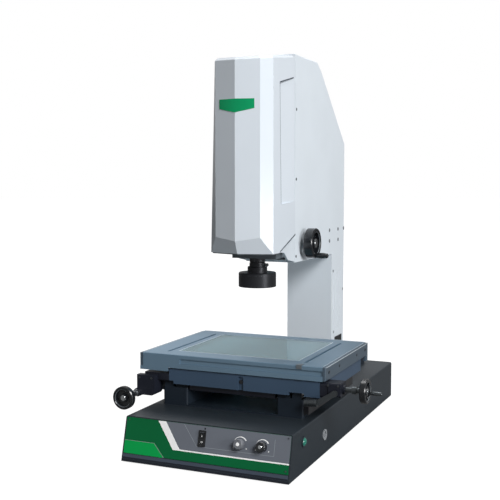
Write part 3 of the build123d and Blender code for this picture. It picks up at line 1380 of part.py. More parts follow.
Z_WHEEL_PLANE = Z_SHAFT_PLANE.offset(Z_WHEEL_X)
with BuildPart() as z_handwheel:
    add(handwheel(Z_WHEEL_PLANE, Z_WHEEL_RADIUS, Z_WHEEL_WIDTH, Z_SHAFT_RADIUS, 3))
    with BuildSketch(Z_WHEEL_PLANE):
        with Locations((Z_GRIP_DY, Z_GRIP_DZ)):
            Circle(6.0)
    extrude(amount=Z_WHEEL_WIDTH)
    with BuildSketch(Z_WHEEL_PLANE.offset(Z_WHEEL_WIDTH)):
        with Locations((Z_GRIP_DY, Z_GRIP_DZ)):
            Circle(2.5)
    extrude(amount=Z_GRIP_LENGTH - 0.6)
z_handwheel.part.label = "z_handwheel"
export_step(z_handwheel.part, "parts/z_handwheel.step")

Z_GRIP_PLANE = Plane(
    origin=(CENTRE_X + Z_WHEEL_X + Z_WHEEL_WIDTH, Z_DRIVE_Y + Z_GRIP_DY, Z_DRIVE_Z + Z_GRIP_DZ),
    x_dir=(0, 1, 0),
    z_dir=(1, 0, 0),
)
with BuildPart() as z_crank_grip:
    add(crank_grip(Z_GRIP_PLANE, Z_GRIP_LENGTH, 6.3, 2.5 + RUNNING_GAP))
z_crank_grip.part.label = "z_crank_grip"
export_step(z_crank_grip.part, "parts/z_crank_grip.step")

# Carriage: upright plate with a forward arm that clamps the lens and ties the cover
CARRIAGE_LOW = 460.0
CARRIAGE_HIGH = 640.0
ARM_BOTTOM = 470.0
ARM_THICKNESS = 30.0
CLAMP_RADIUS = 18.0
TIE_FRONT = -56.0
TIE_BACK = -40.0

with BuildPart() as z_carriage:
    with BuildSketch(across(CARRIAGE_FRONT)):
        span(-48.0, 48.0, CARRIAGE_LOW, CARRIAGE_HIGH)
    extrude(amount=-(CARRIAGE_BACK - CARRIAGE_FRONT))
    with BuildSketch(level(ARM_BOTTOM)):
        span(-20.0, 20.0, OPTICAL_Y, CARRIAGE_FRONT)
        with Locations((0, OPTICAL_Y)):
            Circle(28.0)
    extrude(amount=ARM_THICKNESS)
    with BuildSketch(level(480.0)):
        span(-NECK_HALF + COVER_WALL, NECK_HALF - COVER_WALL, TIE_FRONT, TIE_BACK)
    extrude(amount=10.0)
    with BuildSketch(along(-4.0)):
        Polygon(
            (CARRIAGE_FRONT, ARM_BOTTOM + ARM_THICKNESS),
            (CARRIAGE_FRONT, 590.0),
            (OPTICAL_Y + 32.0, ARM_BOTTOM + ARM_THICKNESS),
            align=None,
        )
    extrude(amount=8.0)
    with BuildSketch(level(ARM_BOTTOM)):
        with Locations((0, OPTICAL_Y)):
            Circle(CLAMP_RADIUS)
    extrude(amount=ARM_THICKNESS, mode=Mode.SUBTRACT)
z_carriage.part.label = "z_carriage"
export_step(z_carriage.part, "parts/z_carriage.step")

# Bearing blocks on the upright guides and the nut on the lead screw
Z_BLOCK_LOWS = [465.0, 580.0]

with BuildPart() as z_bearings:
    for rail_side in (-1, 1):
        for block_low in Z_BLOCK_LOWS:
            block_plane = Plane(
                origin=(CENTRE_X + rail_side * Z_RAIL_X, Z_RAIL_BACK, block_low + 45.0),
                x_dir=(1, 0, 0),
                z_dir=(0, 0, -1),
            )
            with BuildSketch(block_plane):
                bearing_profile(26.0, 4.0, Z_RAIL_BACK - CARRIAGE_BACK)
            extrude(amount=45.0)
z_bearings.part.label = "z_bearings"
export_step(z_bearings.part, "parts/z_bearings.step")

with BuildPart() as z_nut:
    with BuildSketch(level(480.0)):
        span(-16.0, 16.0, CARRIAGE_BACK, 38.0)
        with Locations((0, Z_DRIVE_Y)):
            Circle(Z_SCREW_RADIUS + RUNNING_GAP, mode=Mode.SUBTRACT)
    extrude(amount=30.0)
z_nut.part.label = "z_nut"
export_step(z_nut.part, "parts/z_nut.step")


def cover_half(height):
    """Return the head cover's half width at a height: it widens a little towards its bottom."""
    share = (height - COVER_BOTTOM) / (COVER_TOP_BACK + 3.0 - COVER_BOTTOM)
    return COVER_LOW_HALF + (COVER_TOP_HALF - COVER_LOW_HALF) * share


def cover_outline(inset, half, corner):
    """Draw the head cover's plan: a blunt ridge at the front, a flat on each corner, a square back."""
    Polygon(
        (-half + inset, COVER_BACK - inset),
        (-half + inset, COVER_RIDGE_Y + corner + 0.3 * inset),
        (-COVER_FACET_X + 0.6 * inset, COVER_RIDGE_Y + COVER_FACET_RISE + 0.87 * inset),
        (0, COVER_RIDGE_Y + 1.035 * inset),
        (COVER_FACET_X - 0.6 * inset, COVER_RIDGE_Y + COVER_FACET_RISE + 0.87 * inset),
        (half - inset, COVER_RIDGE_Y + corner + 0.3 * inset),
        (half - inset, COVER_BACK - inset),
        align=None,
    )


def cover_body(inset, top_drop):
    """Build the head cover's solid outline with its rear neck, drawn in by an inset on every side."""
    top_level = COVER_TOP_BACK + 3.0
    with BuildPart() as body:
        with BuildSketch(level(COVER_BOTTOM)):
            cover_outline(inset, COVER_LOW_HALF, COVER_LOW_CORNER)
        with BuildSketch(level(top_level)):
            cover_outline(inset, COVER_TOP_HALF, COVER_TOP_CORNER)
        loft()
        with BuildSketch(level(COVER_BOTTOM)):
            span(-NECK_HALF + inset, NECK_HALF - inset, COVER_BACK - 6.0, NECK_BACK + inset / 3)
        extrude(amount=top_level - COVER_BOTTOM)
        for bevel_side in (-1, 1):
            skirt_bevel = Plane(
                origin=(CENTRE_X, COVER_RIDGE_Y, COVER_SKIRT), z_dir=(bevel_side, -3.0, -1.3)
            )
            with BuildSketch(skirt_bevel.offset(-inset)):
                Rectangle(400.0, 400.0)
            extrude(amount=90.0, mode=Mode.SUBTRACT)
        with BuildSketch(along(-COVER_LOW_HALF - 1)):
            Polygon(
                (NECK_BACK + 2, COVER_TOP_BACK - top_drop),
                (COVER_RIDGE_Y - 1, COVER_TOP_FRONT - top_drop),
                (COVER_RIDGE_Y - 1, COVER_TOP_BACK + 10),
                (NECK_BACK + 2, COVER_TOP_BACK + 10),
                align=None,
            )
        extrude(amount=2 * COVER_LOW_HALF + 2, mode=Mode.SUBTRACT)
    return body


# Head cover: thin shell with bevelled top, wedge recesses in its sides and a diagonal cut for the chin
RECESS_LOW = 501.0
RECESS_HIGH = 750.0
RECESS_FRONT = -139.0
RECESS_DEPTH = 5.0
RECESS_REAR_DEPTH = 0.6
RECESS_RUN = COVER_BACK - RECESS_FRONT
RECESS_TOP_RISE = 18.0
RECESS_LOW_RISE = 5.0
CUT_BACK = NECK_BACK + 2.0

cover_outside = cover_body(0.0, 0.0)
cover_inside = cover_body(COVER_WALL, COVER_WALL)

with BuildPart() as head_cover:
    add(cover_outside.part)
    top_edges = head_cover.faces().filter_by(Axis.Z, reverse=True).sort_by(Axis.Z)[-1].edges()
    chamfer([edge for edge in top_edges if edge.center().Y < COVER_BACK - 1], 5.0)
    add(cover_inside.part, mode=Mode.SUBTRACT)
    for cover_side in (-1, 1):
        floor_foot = Vector(
            CENTRE_X + cover_side * (cover_half(RECESS_LOW) - RECESS_DEPTH), RECESS_FRONT, RECESS_LOW
        )
        floor_head = Vector(
            CENTRE_X + cover_side * (cover_half(RECESS_HIGH) - RECESS_DEPTH), RECESS_FRONT, RECESS_HIGH
        )
        floor_rear = Vector(
            CENTRE_X + cover_side * (cover_half(RECESS_LOW) - RECESS_REAR_DEPTH), COVER_BACK, RECESS_LOW
        )
        upwards = floor_head - floor_foot
        recess_floor = Plane(
            origin=floor_foot, x_dir=upwards, z_dir=(floor_rear - floor_foot).cross(upwards) * cover_side
        )
        with BuildSketch(recess_floor.offset(-COVER_WALL)):
            Polygon(
                (-4.0, cover_side * 3.0),
                (upwards.length + 4.0, cover_side * 3.0),
                (upwards.length + RECESS_TOP_RISE + 3.0, -cover_side * (RECESS_RUN - 5.0)),
                (0.0, -cover_side * (RECESS_RUN - 5.0)),
                align=None,
            )
        extrude(amount=COVER_WALL)
        with BuildSketch(recess_floor):
            Polygon(
                (0.0, 0.0),
                (upwards.length, 0.0),
                (upwards.length + RECESS_TOP_RISE, -cover_side * (RECESS_RUN + 3.0)),
                (RECESS_LOW_RISE, -cover_side * (RECESS_RUN + 3.0)),
                align=None,
            )
        extrude(amount=RECESS_DEPTH + 3.0, mode=Mode.SUBTRACT)
    with BuildSketch(along(-COVER_LOW_HALF - 1)):
        Polygon(
            (SLIT_Y, COVER_BOTTOM - 1),
            (SLIT_Y, COVER_BOTTOM),
            (CUT_BACK, COVER_BOTTOM + (CUT_BACK - SLIT_Y) * SLIT_SLOPE),
            (CUT_BACK, COVER_BOTTOM - 1),
            align=None,
        )
    extrude(amount=2 * COVER_LOW_HALF + 2, mode=Mode.SUBTRACT)
head_cover.part.label = "head_cover"
export_step(head_cover.part, "parts/head_cover.step")

# Chin: the pale tray below the cover's diagonal cut
CHIN_HALF = 57.5
CHIN_WALL = 5.0
CHIN_FRONT = -118.0
CHIN_FLOOR_FRONT = -58.0
CHIN_SLIT = 2.5

with BuildPart() as head_chin:
    with BuildSketch(along(-CHIN_HALF)):
        Polygon(
            (NECK_BACK, 374.0),
            (-71.0, 381.0),
            (-93.0, 398.0),
            (CHIN_FRONT, 400.5),
            (CHIN_FRONT, COVER_BOTTOM + (CHIN_FRONT - SLIT_Y) * SLIT_SLOPE - CHIN_SLIT),
            (NECK_BACK, COVER_BOTTOM + (NECK_BACK - SLIT_Y) * SLIT_SLOPE - CHIN_SLIT),
            align=None,
        )
    extrude(amount=2 * CHIN_HALF)
    with BuildSketch(along(-CHIN_HALF + CHIN_WALL)):
        Polygon(
            (NECK_BACK + 1, 377.0),
            (CHIN_FLOOR_FRONT, 381.0),
            (CHIN_FLOOR_FRONT, 370.0),
            (CHIN_FRONT - 10.0, 370.0),
            (CHIN_FRONT - 10.0, 450.0),
            (NECK_BACK + 1, 450.0),
            align=None,
        )
    extrude(amount=2 * (CHIN_HALF - CHIN_WALL), mode=Mode.SUBTRACT)
head_chin.part.label = "head_chin"
export_step(head_chin.part, "parts/head_chin.step")

# Base plate of the head: dark lid under the cover, and the tray between the chin's walls, with the lens hole
TRAY_HALF = 50.0
TRAY_FRONT = -121.0
TRAY_BACK = -36.0
TRAY_LOW = 386.0
LID_THICKNESS = 2.0
LENS_HOLE = 18.5

with BuildPart() as head_base_plate:
    with BuildSketch(level(COVER_BOTTOM - LID_THICKNESS)):
        Polygon(
            (0, -205.0),
            (47.0, -189.3),
            (66.5, -182.5),
            (66.5, SLIT_Y),
            (-66.5, SLIT_Y),
            (-66.5, -182.5),
            (-47.0, -189.3),
            align=None,
        )
        span(-TRAY_HALF, TRAY_HALF, SLIT_Y - 1, TRAY_BACK)
    extrude(amount=LID_THICKNESS)
    with BuildSketch(level(TRAY_LOW)):
        span(-TRAY_HALF, TRAY_HALF, TRAY_FRONT, TRAY_BACK)
    extrude(amount=COVER_BOTTOM - TRAY_LOW)
    with BuildSketch(level(TRAY_LOW + 2.0)):
        span(-CHIN_HALF + CHIN_WALL, CHIN_HALF - CHIN_WALL, -95.0, TRAY_BACK)
    extrude(amount=8.0)
    with BuildSketch(level(TRAY_LOW)):
        with Locations((0, OPTICAL_Y)):
            Circle(LENS_HOLE)
    extrude(amount=COVER_BOTTOM - TRAY_LOW, mode=Mode.SUBTRACT)
    with BuildSketch(level(COVER_BOTTOM)):
        span(-40.0, 40.0, -76.0, -42.0)
    extrude(amount=-(COVER_BOTTOM - TRAY_LOW - 3.0), mode=Mode.SUBTRACT)
head_base_plate.part.label = "head_base_plate"
export_step(head_base_plate.part, "parts/head_base_plate.step")

# Camera on top of the lens
CAMERA_LOW = 560.0
CAMERA_HIGH = 640.0
LENS_TOP = 545.0

with BuildPart() as camera:
    with BuildSketch(level(CAMERA_LOW)):
        with Locations((0, OPTICAL_Y)):
            RectangleRounded(50.0, 50.0, 3.0)
    extrude(amount=CAMERA_HIGH - CAMERA_LOW)
    with BuildSketch(level(LENS_TOP)):
        with Locations((0, OPTICAL_Y)):
            Circle(16.0)
    extrude(amount=CAMERA_LOW - LENS_TOP)
    for groove_level in (572.0, 584.0, 596.0, 608.0):
        with BuildSketch(level(groove_level)):
            with Locations((0, OPTICAL_Y)):
                Rectangle(50.0, 50.0)
                Rectangle(46.0, 46.0, mode=Mode.SUBTRACT)
        extrude(amount=4.0, mode=Mode.SUBTRACT)
    with BuildSketch(level(CAMERA_HIGH)):
        with Locations((0, OPTICAL_Y)):
            Circle(7.0)
            Circle(5.0, mode=Mode.SUBTRACT)
    extrude(amount=9.0)
camera.part.label = "camera"
export_step(camera.part, "parts/camera.step")

# Zoom lens: turned body from the clamp down to the nose
NOSE_RADIUS = 14.0
NOSE_LOW = 340.0
ZOOM_LOW = 377.0
ZOOM_HIGH = 391.0

LENS_PLANE = Plane(origin=(CENTRE_X, OPTICAL_Y, 0), x_dir=(1, 0, 0), z_dir=(0, 0, 1))
with BuildPart() as zoom_lens:
    with BuildSketch(half_section(LENS_PLANE)):
        Polygon(
            (0, NOSE_LOW + 3.0),
            (11.0, NOSE_LOW + 3.0),
            (12.0, NOSE_LOW),
            (NOSE_RADIUS, NOSE_LOW),
            (NOSE_RADIUS, ZOOM_HIGH + 0.3),
            (BARREL_RADIUS, ZOOM_HIGH + 0.3),
            (BARREL_RADIUS, 440.0),
            (17.0, 444.0),
            (17.0, 462.0),
            (CLAMP_RADIUS, 464.0),
            (CLAMP_RADIUS, 520.0),
            (16.0, 524.0),
            (16.0, LENS_TOP),
            (0, LENS_TOP),
            align=None,
        )
    revolve(axis=turning_axis(LENS_PLANE))
zoom_lens.part.label = "zoom_lens"
export_step(zoom_lens.part, "parts/zoom_lens.step")

with BuildPart() as zoom_ring:
    with BuildSketch(level(ZOOM_LOW)):
        with Locations((0, OPTICAL_Y)):
            Circle(16.5)
    extrude(amount=ZOOM_HIGH - ZOOM_LOW)
    chamfer(zoom_ring.edges().filter_by(GeomType.CIRCLE), 0.8)
    with BuildSketch(level(ZOOM_LOW)):
        with Locations((0, OPTICAL_Y)):
            Circle(NOSE_RADIUS + RUNNING_GAP)
            with PolarLocations(16.8, 24):
                Circle(0.8)
    extrude(amount=ZOOM_HIGH - ZOOM_LOW, mode=Mode.SUBTRACT)
zoom_ring.part.label = "zoom_ring"
export_step(zoom_ring.part, "parts/zoom_ring.step")

# Ring light clamped on the lens nose, with its thumb screw
NECK_RADIUS = 17.0
NECK_TOP = 376.0
SCREW_LEVEL = 371.0
THUMB_RADIUS = 1.5

with BuildPart() as ring_light:
    with BuildSketch(half_section(LENS_PLANE)):
        Polygon(
            (NOSE_RADIUS, NOSE_LOW + 2.0),
            (20.0, RING_BOTTOM + 4.0),
            (22.0, RING_BOTTOM),
            (24.0, RING_BOTTOM),
            (24.0, RING_BOTTOM + 2.5),
            (36.0, RING_BOTTOM + 2.5),
            (36.0, RING_BOTTOM),
            (RING_RADIUS - 0.8, RING_BOTTOM),
            (RING_RADIUS, RING_BOTTOM + 0.8),
            (RING_RADIUS, RING_TOP - 1.5),
            (RING_RADIUS - 1.5, RING_TOP),
            (COLLAR_RADIUS, RING_TOP),
            (COLLAR_RADIUS, 367.0),
            (COLLAR_RADIUS - 1.0, 368.0),
            (NECK_RADIUS, 368.0),
            (NECK_RADIUS, NECK_TOP),
            (NOSE_RADIUS, NECK_TOP),
            align=None,
        )
    revolve(axis=turning_axis(LENS_PLANE))
    with BuildSketch(along(NOSE_RADIUS - 1.0)):
        with Locations((OPTICAL_Y, SCREW_LEVEL + 1.0)):
            Circle(THUMB_RADIUS + RUNNING_GAP)
    extrude(amount=4.5, mode=Mode.SUBTRACT)
ring_light.part.label = "ring_light"
export_step(ring_light.part, "parts/ring_light.step")

with BuildPart() as ring_light_screw:
    with BuildSketch(along(NOSE_RADIUS + 0.6)):
        with Locations((OPTICAL_Y, SCREW_LEVEL + 1.0)):
            Circle(THUMB_RADIUS)
    extrude(amount=4.0)
    with BuildSketch(along(NECK_RADIUS + 0.6)):
        with Locations((OPTICAL_Y, SCREW_LEVEL + 1.0)):
            Circle(3.3)
            with PolarLocations(3.5, 10):
                Circle(0.6, mode=Mode.SUBTRACT)
    extrude(amount=7.0)
ring_light_screw.part.label = "ring_light_screw"
export_step(ring_light_screw.part, "parts/ring_light_screw.step")
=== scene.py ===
"""Looks of a bench vision measuring machine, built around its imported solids.

Lengths are in metres, in the machine's own frame: X to the right along the front, Y to the back, Z up.
"""

import json
import logging
import math
from collections.abc import Sequence
from dataclasses import dataclass, field
from enum import Enum

import bmesh
import bpy
from mathutils import Matrix, Vector

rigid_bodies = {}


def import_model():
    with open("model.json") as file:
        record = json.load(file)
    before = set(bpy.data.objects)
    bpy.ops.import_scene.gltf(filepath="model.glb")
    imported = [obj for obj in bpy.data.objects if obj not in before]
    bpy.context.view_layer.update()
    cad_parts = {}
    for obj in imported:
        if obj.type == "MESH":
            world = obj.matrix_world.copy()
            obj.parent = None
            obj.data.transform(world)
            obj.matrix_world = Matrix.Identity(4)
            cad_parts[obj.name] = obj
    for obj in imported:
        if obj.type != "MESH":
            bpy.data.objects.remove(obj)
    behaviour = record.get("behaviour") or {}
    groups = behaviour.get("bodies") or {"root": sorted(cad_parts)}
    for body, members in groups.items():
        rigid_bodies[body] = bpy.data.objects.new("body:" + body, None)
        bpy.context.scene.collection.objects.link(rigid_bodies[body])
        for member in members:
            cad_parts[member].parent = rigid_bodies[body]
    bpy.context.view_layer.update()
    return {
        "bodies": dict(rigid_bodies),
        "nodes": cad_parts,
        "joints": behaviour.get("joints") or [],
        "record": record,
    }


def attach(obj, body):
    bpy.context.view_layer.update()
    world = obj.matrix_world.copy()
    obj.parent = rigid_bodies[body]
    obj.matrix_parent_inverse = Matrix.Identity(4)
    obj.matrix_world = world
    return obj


LOG = logging.getLogger("measuring_machine")
MM = 0.001
CENTRE_X = -0.0385
BASE_FRONT = -372.0
BASE_BOTTOM = 3.0
FASCIA_RISE = 85.0
FASCIA_SETBACK = 22.0
FASCIA_FACING = Vector((0.0, -FASCIA_RISE, FASCIA_SETBACK)).normalized()
FRONT = Vector((0.0, -1.0, 0.0))
BACK = Vector((0.0, 1.0, 0.0))
RIGHT = Vector((1.0, 0.0, 0.0))
LEFT = Vector((-1.0, 0.0, 0.0))
UP = Vector((0.0, 0.0, 1.0))
DOWN = Vector((0.0, 0.0, -1.0))
SMOOTH_BELOW = math.radians(32.0)
WHITE = (1.0, 1.0, 1.0, 1.0)
CLOUD_SCALE = 9.0
CLOUD_DETAIL = 4.0
CLOUD_LOW = 0.35
CLOUD_HIGH = 0.65
GRAIN_DETAIL = 3.0
BRUSHED_STRETCH = (1.0, 0.03, 1.0)
EVEN_STRETCH = (1.0, 1.0, 1.0)
COAT_ROUGHNESS = 0.12
GRAIN_DEPTH = 0.00008
GLOSS_SPREAD = 0.06
SMEAR_SCALE = 14.0
SMEAR_DETAIL = 5.0
SMEAR_LOW = 0.4
SMEAR_HIGH = 0.6
SMEAR_GLOSS = 0.05
SMEAR_SHARE = 0.93
GLASS_IOR = 1.5
MIX_FIRST_COLOUR = 6
MIX_SECOND_COLOUR = 7
MIX_COLOUR = 2

Colour = tuple[float, float, float]
Point = tuple[float, float, float]


def tone(red: int, green: int, blue: int) -> Colour:
    """Turn a screen colour into the linear one that shaders use.

    Args:
        red: screen red, 0 to 255.
        green: screen green, 0 to 255.
        blue: screen blue, 0 to 255.

    Returns:
        The linear colour.
    """
    linear = []
    for channel in (red, green, blue):
        share = channel / 255.0
        linear.append(share / 12.92 if share <= 0.04045 else ((share + 0.055) / 1.055) ** 2.4)
    return (linear[0], linear[1], linear[2])


def place(x: float, y: float, z: float) -> Vector:
    """Turn a place given in millimetres from the machine's centre plane into frame metres."""
    return Vector((CENTRE_X + x * MM, y * MM, z * MM))


def fascia(x: float, v: float, w: float = 0.0) -> Vector:
    """Return a place on the sloped front.

    Args:
        x: millimetres to the right of the centre plane.
        v: millimetres up the slope from its foot.
        w: millimetres outwards from the panel's face.

    Returns:
        The place in frame metres.
    """
    length = math.hypot(FASCIA_RISE, FASCIA_SETBACK)
    y = BASE_FRONT + (v * FASCIA_SETBACK - w * FASCIA_RISE) / length
    z = BASE_BOTTOM + (v * FASCIA_RISE + w * FASCIA_SETBACK) / length
    return place(x, y, z)


class Grain(Enum):
    """How a surface is broken up close to."""

    ORANGE_PEEL = "orange_peel"
    CAST = "cast"
    SATIN = "satin"
    BRUSHED = "brushed"
    MOULDED = "moulded"


GRAIN_SCALE = {
    Grain.ORANGE_PEEL: 1500.0,
    Grain.CAST: 520.0,
    Grain.SATIN: 2400.0,
    Grain.BRUSHED: 1400.0,
    Grain.MOULDED: 1900.0,
}


class Shader:
    """A material under construction, with short calls for its nodes."""

    def __init__(self, name: str) -> None:
        """Start an empty material with its surface shader and its object coordinates.

        Args:
            name: the material's name.
        """
        self.material = bpy.data.materials.new(name)
        self.material.use_nodes = True
        self.tree = self.material.node_tree
        self.surface = self.tree.nodes["Principled BSDF"]
        self.coordinates = self.tree.nodes.new("ShaderNodeTexCoord")

    def node(self, kind: str, **values: object) -> bpy.types.Node:
        """Add a node.

        Args:
            kind: the node's type.
            values: properties to set on it.

        Returns:
            The node.
        """
        made = self.tree.nodes.new(kind)
        for key, value in values.items():
            setattr(made, key, value)
        return made

    def link(self, source: bpy.types.NodeSocket, target: bpy.types.NodeSocket) -> None:
        """Join two sockets."""
        self.tree.links.new(source, target)

    def noise(
        self, scale: float, detail: float, stretch: Point = EVEN_STRETCH
    ) -> bpy.types.NodeSocket:
        """Add noise on the object's own coordinates.

        Args:
            scale: cells per metre.
            detail: how many finer layers it has.
            stretch: factor along each axis, for grain that runs one way.

        Returns:
            The noise value's socket.
        """
        mapping = self.node("ShaderNodeMapping")
        mapping.inputs["Scale"].default_value = stretch
        self.link(self.coordinates.outputs["Object"], mapping.inputs["Vector"])
        texture = self.node("ShaderNodeTexNoise")
        texture.inputs["Scale"].default_value = scale
        texture.inputs["Detail"].default_value = detail
        self.link(mapping.outputs["Vector"], texture.inputs["Vector"])
        return texture.outputs["Fac"]

    def ramp(
        self, value: bpy.types.NodeSocket, low: float, high: float, dark: Colour, light: Colour
    ) -> bpy.types.NodeSocket:
        """Colour a value between two stops.

        Args:
            value: the socket to colour.
            low: value at which the dark colour ends.
            high: value at which the light colour starts.
            dark: colour below low.
            light: colour above high.

        Returns:
            The coloured socket.
        """
        band = self.node("ShaderNodeValToRGB")
        band.color_ramp.elements[0].position = low
        band.color_ramp.elements[1].position = high
        band.color_ramp.elements[0].color = (*dark, 1.0)
        band.color_ramp.elements[1].color = (*light, 1.0)
        self.link(value, band.inputs["Fac"])
        return band.outputs["Color"]

    def spread(self, value: bpy.types.NodeSocket, low: float, high: float) -> bpy.types.NodeSocket:
        """Map a value between 0 and 1 to another range.

        Args:
            value: the value's socket.
            low: what 0 becomes.
            high: what 1 becomes.

        Returns:
            The mapped value's socket.
        """
        mapped = self.node("ShaderNodeMapRange")
        mapped.inputs["To Min"].default_value = low
        mapped.inputs["To Max"].default_value = high
        self.link(value, mapped.inputs["Value"])
        return mapped.outputs["Result"]

    def bump(self, value: bpy.types.NodeSocket, strength: float, depth: float) -> None:
        """Raise the surface by a value.

        Args:
            value: the height's socket.
            strength: how strongly it shades, 0 to 1.
            depth: height in metres.
        """
        raised = self.node("ShaderNodeBump")
        raised.inputs["Strength"].default_value = strength
        raised.inputs["Distance"].default_value = depth
        self.link(value, raised.inputs["Height"])
        self.link(raised.outputs["Normal"], self.surface.inputs["Normal"])


@dataclass(frozen=True)
class Finish:
    """A surface finish: its colour, its gloss and its grain."""

    name: str
    colour: Colour
    roughness: float = 0.45
    metallic: float = 0.0
    grain: Grain = Grain.SATIN
    relief: float = 0.12
    mottle: float = 0.06
    coat: float = 0.0
    specular: float = 0.5
    slot: str = ""

    def build(self) -> bpy.types.Material:
        """Make the material.

        Returns:
            The finished material.
        """
        shader = Shader(self.name)
        darker = tuple(channel * (1.0 - self.mottle) for channel in self.colour)
        lighter = tuple(min(1.0, channel * (1.0 + self.mottle)) for channel in self.colour)
        clouds = shader.noise(CLOUD_SCALE, CLOUD_DETAIL)
        mottled = shader.ramp(clouds, CLOUD_LOW, CLOUD_HIGH, darker, lighter)
        shader.link(mottled, shader.surface.inputs["Base Color"])
        stretch = BRUSHED_STRETCH if self.grain is Grain.BRUSHED else EVEN_STRETCH
        fine = shader.noise(GRAIN_SCALE[self.grain], GRAIN_DETAIL, stretch)
        glossiest = max(0.02, self.roughness - GLOSS_SPREAD)
        dullest = min(1.0, self.roughness + GLOSS_SPREAD)
        shader.link(shader.spread(fine, glossiest, dullest), shader.surface.inputs["Roughness"])
        shader.bump(fine, self.relief, GRAIN_DEPTH)
        shader.surface.inputs["Metallic"].default_value = self.metallic
        shader.surface.inputs["Specular IOR Level"].default_value = self.specular
        shader.surface.inputs["Coat Weight"].default_value = self.coat
        shader.surface.inputs["Coat Roughness"].default_value = COAT_ROUGHNESS
        return shader.material


@dataclass(frozen=True)
class ShadeSplitFinish(Finish):
    """A paint with painted shade: darker below one height, under the saddle, and left of one upright line,
    on the saddle's left end.
    """

    # dark: the colour of the painted shade
    dark: Colour = (0.01, 0.012, 0.02)
    shade_below: float = 0.0
    shade_left_of: float = 0.0

    def build(self) -> bpy.types.Material:
        """Make the material.

        Returns:
            The finished material.
        """
        material = super().build()
        tree = material.node_tree
        colour = tree.nodes["Principled BSDF"].inputs["Base Color"]
        painted = colour.links[0].from_socket
        coordinates = tree.nodes.new("ShaderNodeTexCoord")
        parts = tree.nodes.new("ShaderNodeSeparateXYZ")
        tree.links.new(coordinates.outputs["Object"], parts.inputs[0])
        below = tree.nodes.new("ShaderNodeMath")
        below.operation = "LESS_THAN"
        below.inputs[1].default_value = self.shade_below
        tree.links.new(parts.outputs["Z"], below.inputs[0])
        beside = tree.nodes.new("ShaderNodeMath")
        beside.operation = "LESS_THAN"
        beside.inputs[1].default_value = self.shade_left_of
        tree.links.new(parts.outputs["X"], beside.inputs[0])
        either = tree.nodes.new("ShaderNodeMath")
        either.operation = "MAXIMUM"
        tree.links.new(below.outputs[0], either.inputs[0])
        tree.links.new(beside.outputs[0], either.inputs[1])
        # Mix the painted shade over the paint below and left of the bounds.
        mixed = tree.nodes.new("ShaderNodeMix")
        mixed.data_type = "RGBA"
        tree.links.new(either.outputs[0], mixed.inputs["Factor"])
        tree.links.new(painted, mixed.inputs[MIX_FIRST_COLOUR])
        mixed.inputs[MIX_SECOND_COLOUR].default_value = (*self.dark, 1.0)
        tree.links.new(mixed.outputs[MIX_COLOUR], colour)
        return material


@dataclass(frozen=True)
class GlassFinish:
    """Clear or frosted glass."""

    name: str
    colour: Colour
    roughness: float = 0.02
    transmission: float = 1.0
    specular: float = 0.5
    slot: str = "glass_plate"

    def build(self) -> bpy.types.Material:
        """Make the material.

        Returns:
            The finished material.
        """
        shader = Shader(self.name)
        smears = shader.noise(SMEAR_SCALE, SMEAR_DETAIL)
        gloss = shader.spread(smears, self.roughness, self.roughness + SMEAR_GLOSS)
        shader.link(gloss, shader.surface.inputs["Roughness"])
        faint = tuple(channel * SMEAR_SHARE for channel in self.colour)
        tinted = shader.ramp(smears, SMEAR_LOW, SMEAR_HIGH, faint, self.colour)
        shader.link(tinted, shader.surface.inputs["Base Color"])
        shader.surface.inputs["Transmission Weight"].default_value = self.transmission
        shader.surface.inputs["Specular IOR Level"].default_value = self.specular
        shader.surface.inputs["IOR"].default_value = GLASS_IOR
        return shader.material


COVER_PAINT = Finish(
    "cover_paint", tone(215, 223, 231), 0.36, grain=Grain.ORANGE_PEEL, relief=0.05, mottle=0.012,
    coat=0.25, slot="painted_cover",
)
COLUMN_PAINT = Finish(
    "column_paint", tone(218, 226, 233), 0.42, grain=Grain.ORANGE_PEEL, relief=0.07, mottle=0.015,
    slot="painted_light",
)
CHIN_PAINT = Finish(
    "chin_paint", tone(212, 220, 227), 0.45, grain=Grain.ORANGE_PEEL, relief=0.07, mottle=0.02,
    slot="painted_light",
)
BASE_PAINT = Finish(
    "base_paint", tone(38, 45, 51), 0.42, grain=Grain.ORANGE_PEEL, relief=0.18, mottle=0.05, specular=0.35,
    slot="painted_dark",
)
TRAY_PAINT = Finish(
    "tray_paint", tone(88, 96, 102), 0.4, grain=Grain.ORANGE_PEEL, relief=0.15, mottle=0.04,
    slot="painted_dark",
)
CASTING_PAINT = Finish(
    "casting_paint", tone(26, 34, 43), 0.46, grain=Grain.CAST, relief=0.2, mottle=0.08, specular=0.25,
    slot="casting_dark",
)
# The saddle's paint, with painted shade on its underside and on its left end.
SADDLE_PAINT_AND_SHADE = ShadeSplitFinish(
    "saddle_paint_and_shade", tone(62, 82, 104), 0.4, 0.2, grain=Grain.CAST, relief=0.14, mottle=0.05,
    slot="casting_dark", dark=tone(27, 30, 40), shade_below=133.8 * MM, shade_left_of=CENTRE_X - 136.2 * MM,
)
TABLE_METAL = Finish(
    "table_metal", tone(108, 134, 154), 0.38, 0.3, grain=Grain.SATIN, relief=0.08, mottle=0.03,
    slot="table_plate",
)
GROUND_STEEL = Finish(
    "ground_steel", tone(176, 180, 184), 0.28, 1.0, grain=Grain.BRUSHED, relief=0.1, mottle=0.03,
    slot="steel",
)
RAIL_STEEL = Finish(
    "rail_steel", tone(150, 155, 160), 0.25, 1.0, grain=Grain.BRUSHED, relief=0.1, mottle=0.03,
    slot="steel_rail",
)
ZINC_SHEET = Finish(
    "zinc_sheet", tone(160, 164, 168), 0.42, 0.9, grain=Grain.CAST, relief=0.08, mottle=0.08,
    slot="zinc_sheet",
)
BLACK_GLOSS = Finish(
    "black_gloss", tone(20, 23, 27), 0.24, grain=Grain.MOULDED, relief=0.05, mottle=0.1, coat=0.4,
    slot="black_plastic",
)
BLACK_MATTE = Finish(
    "black_matte", tone(26, 28, 31), 0.5, grain=Grain.MOULDED, relief=0.16, mottle=0.08,
    slot="matte_black",
)
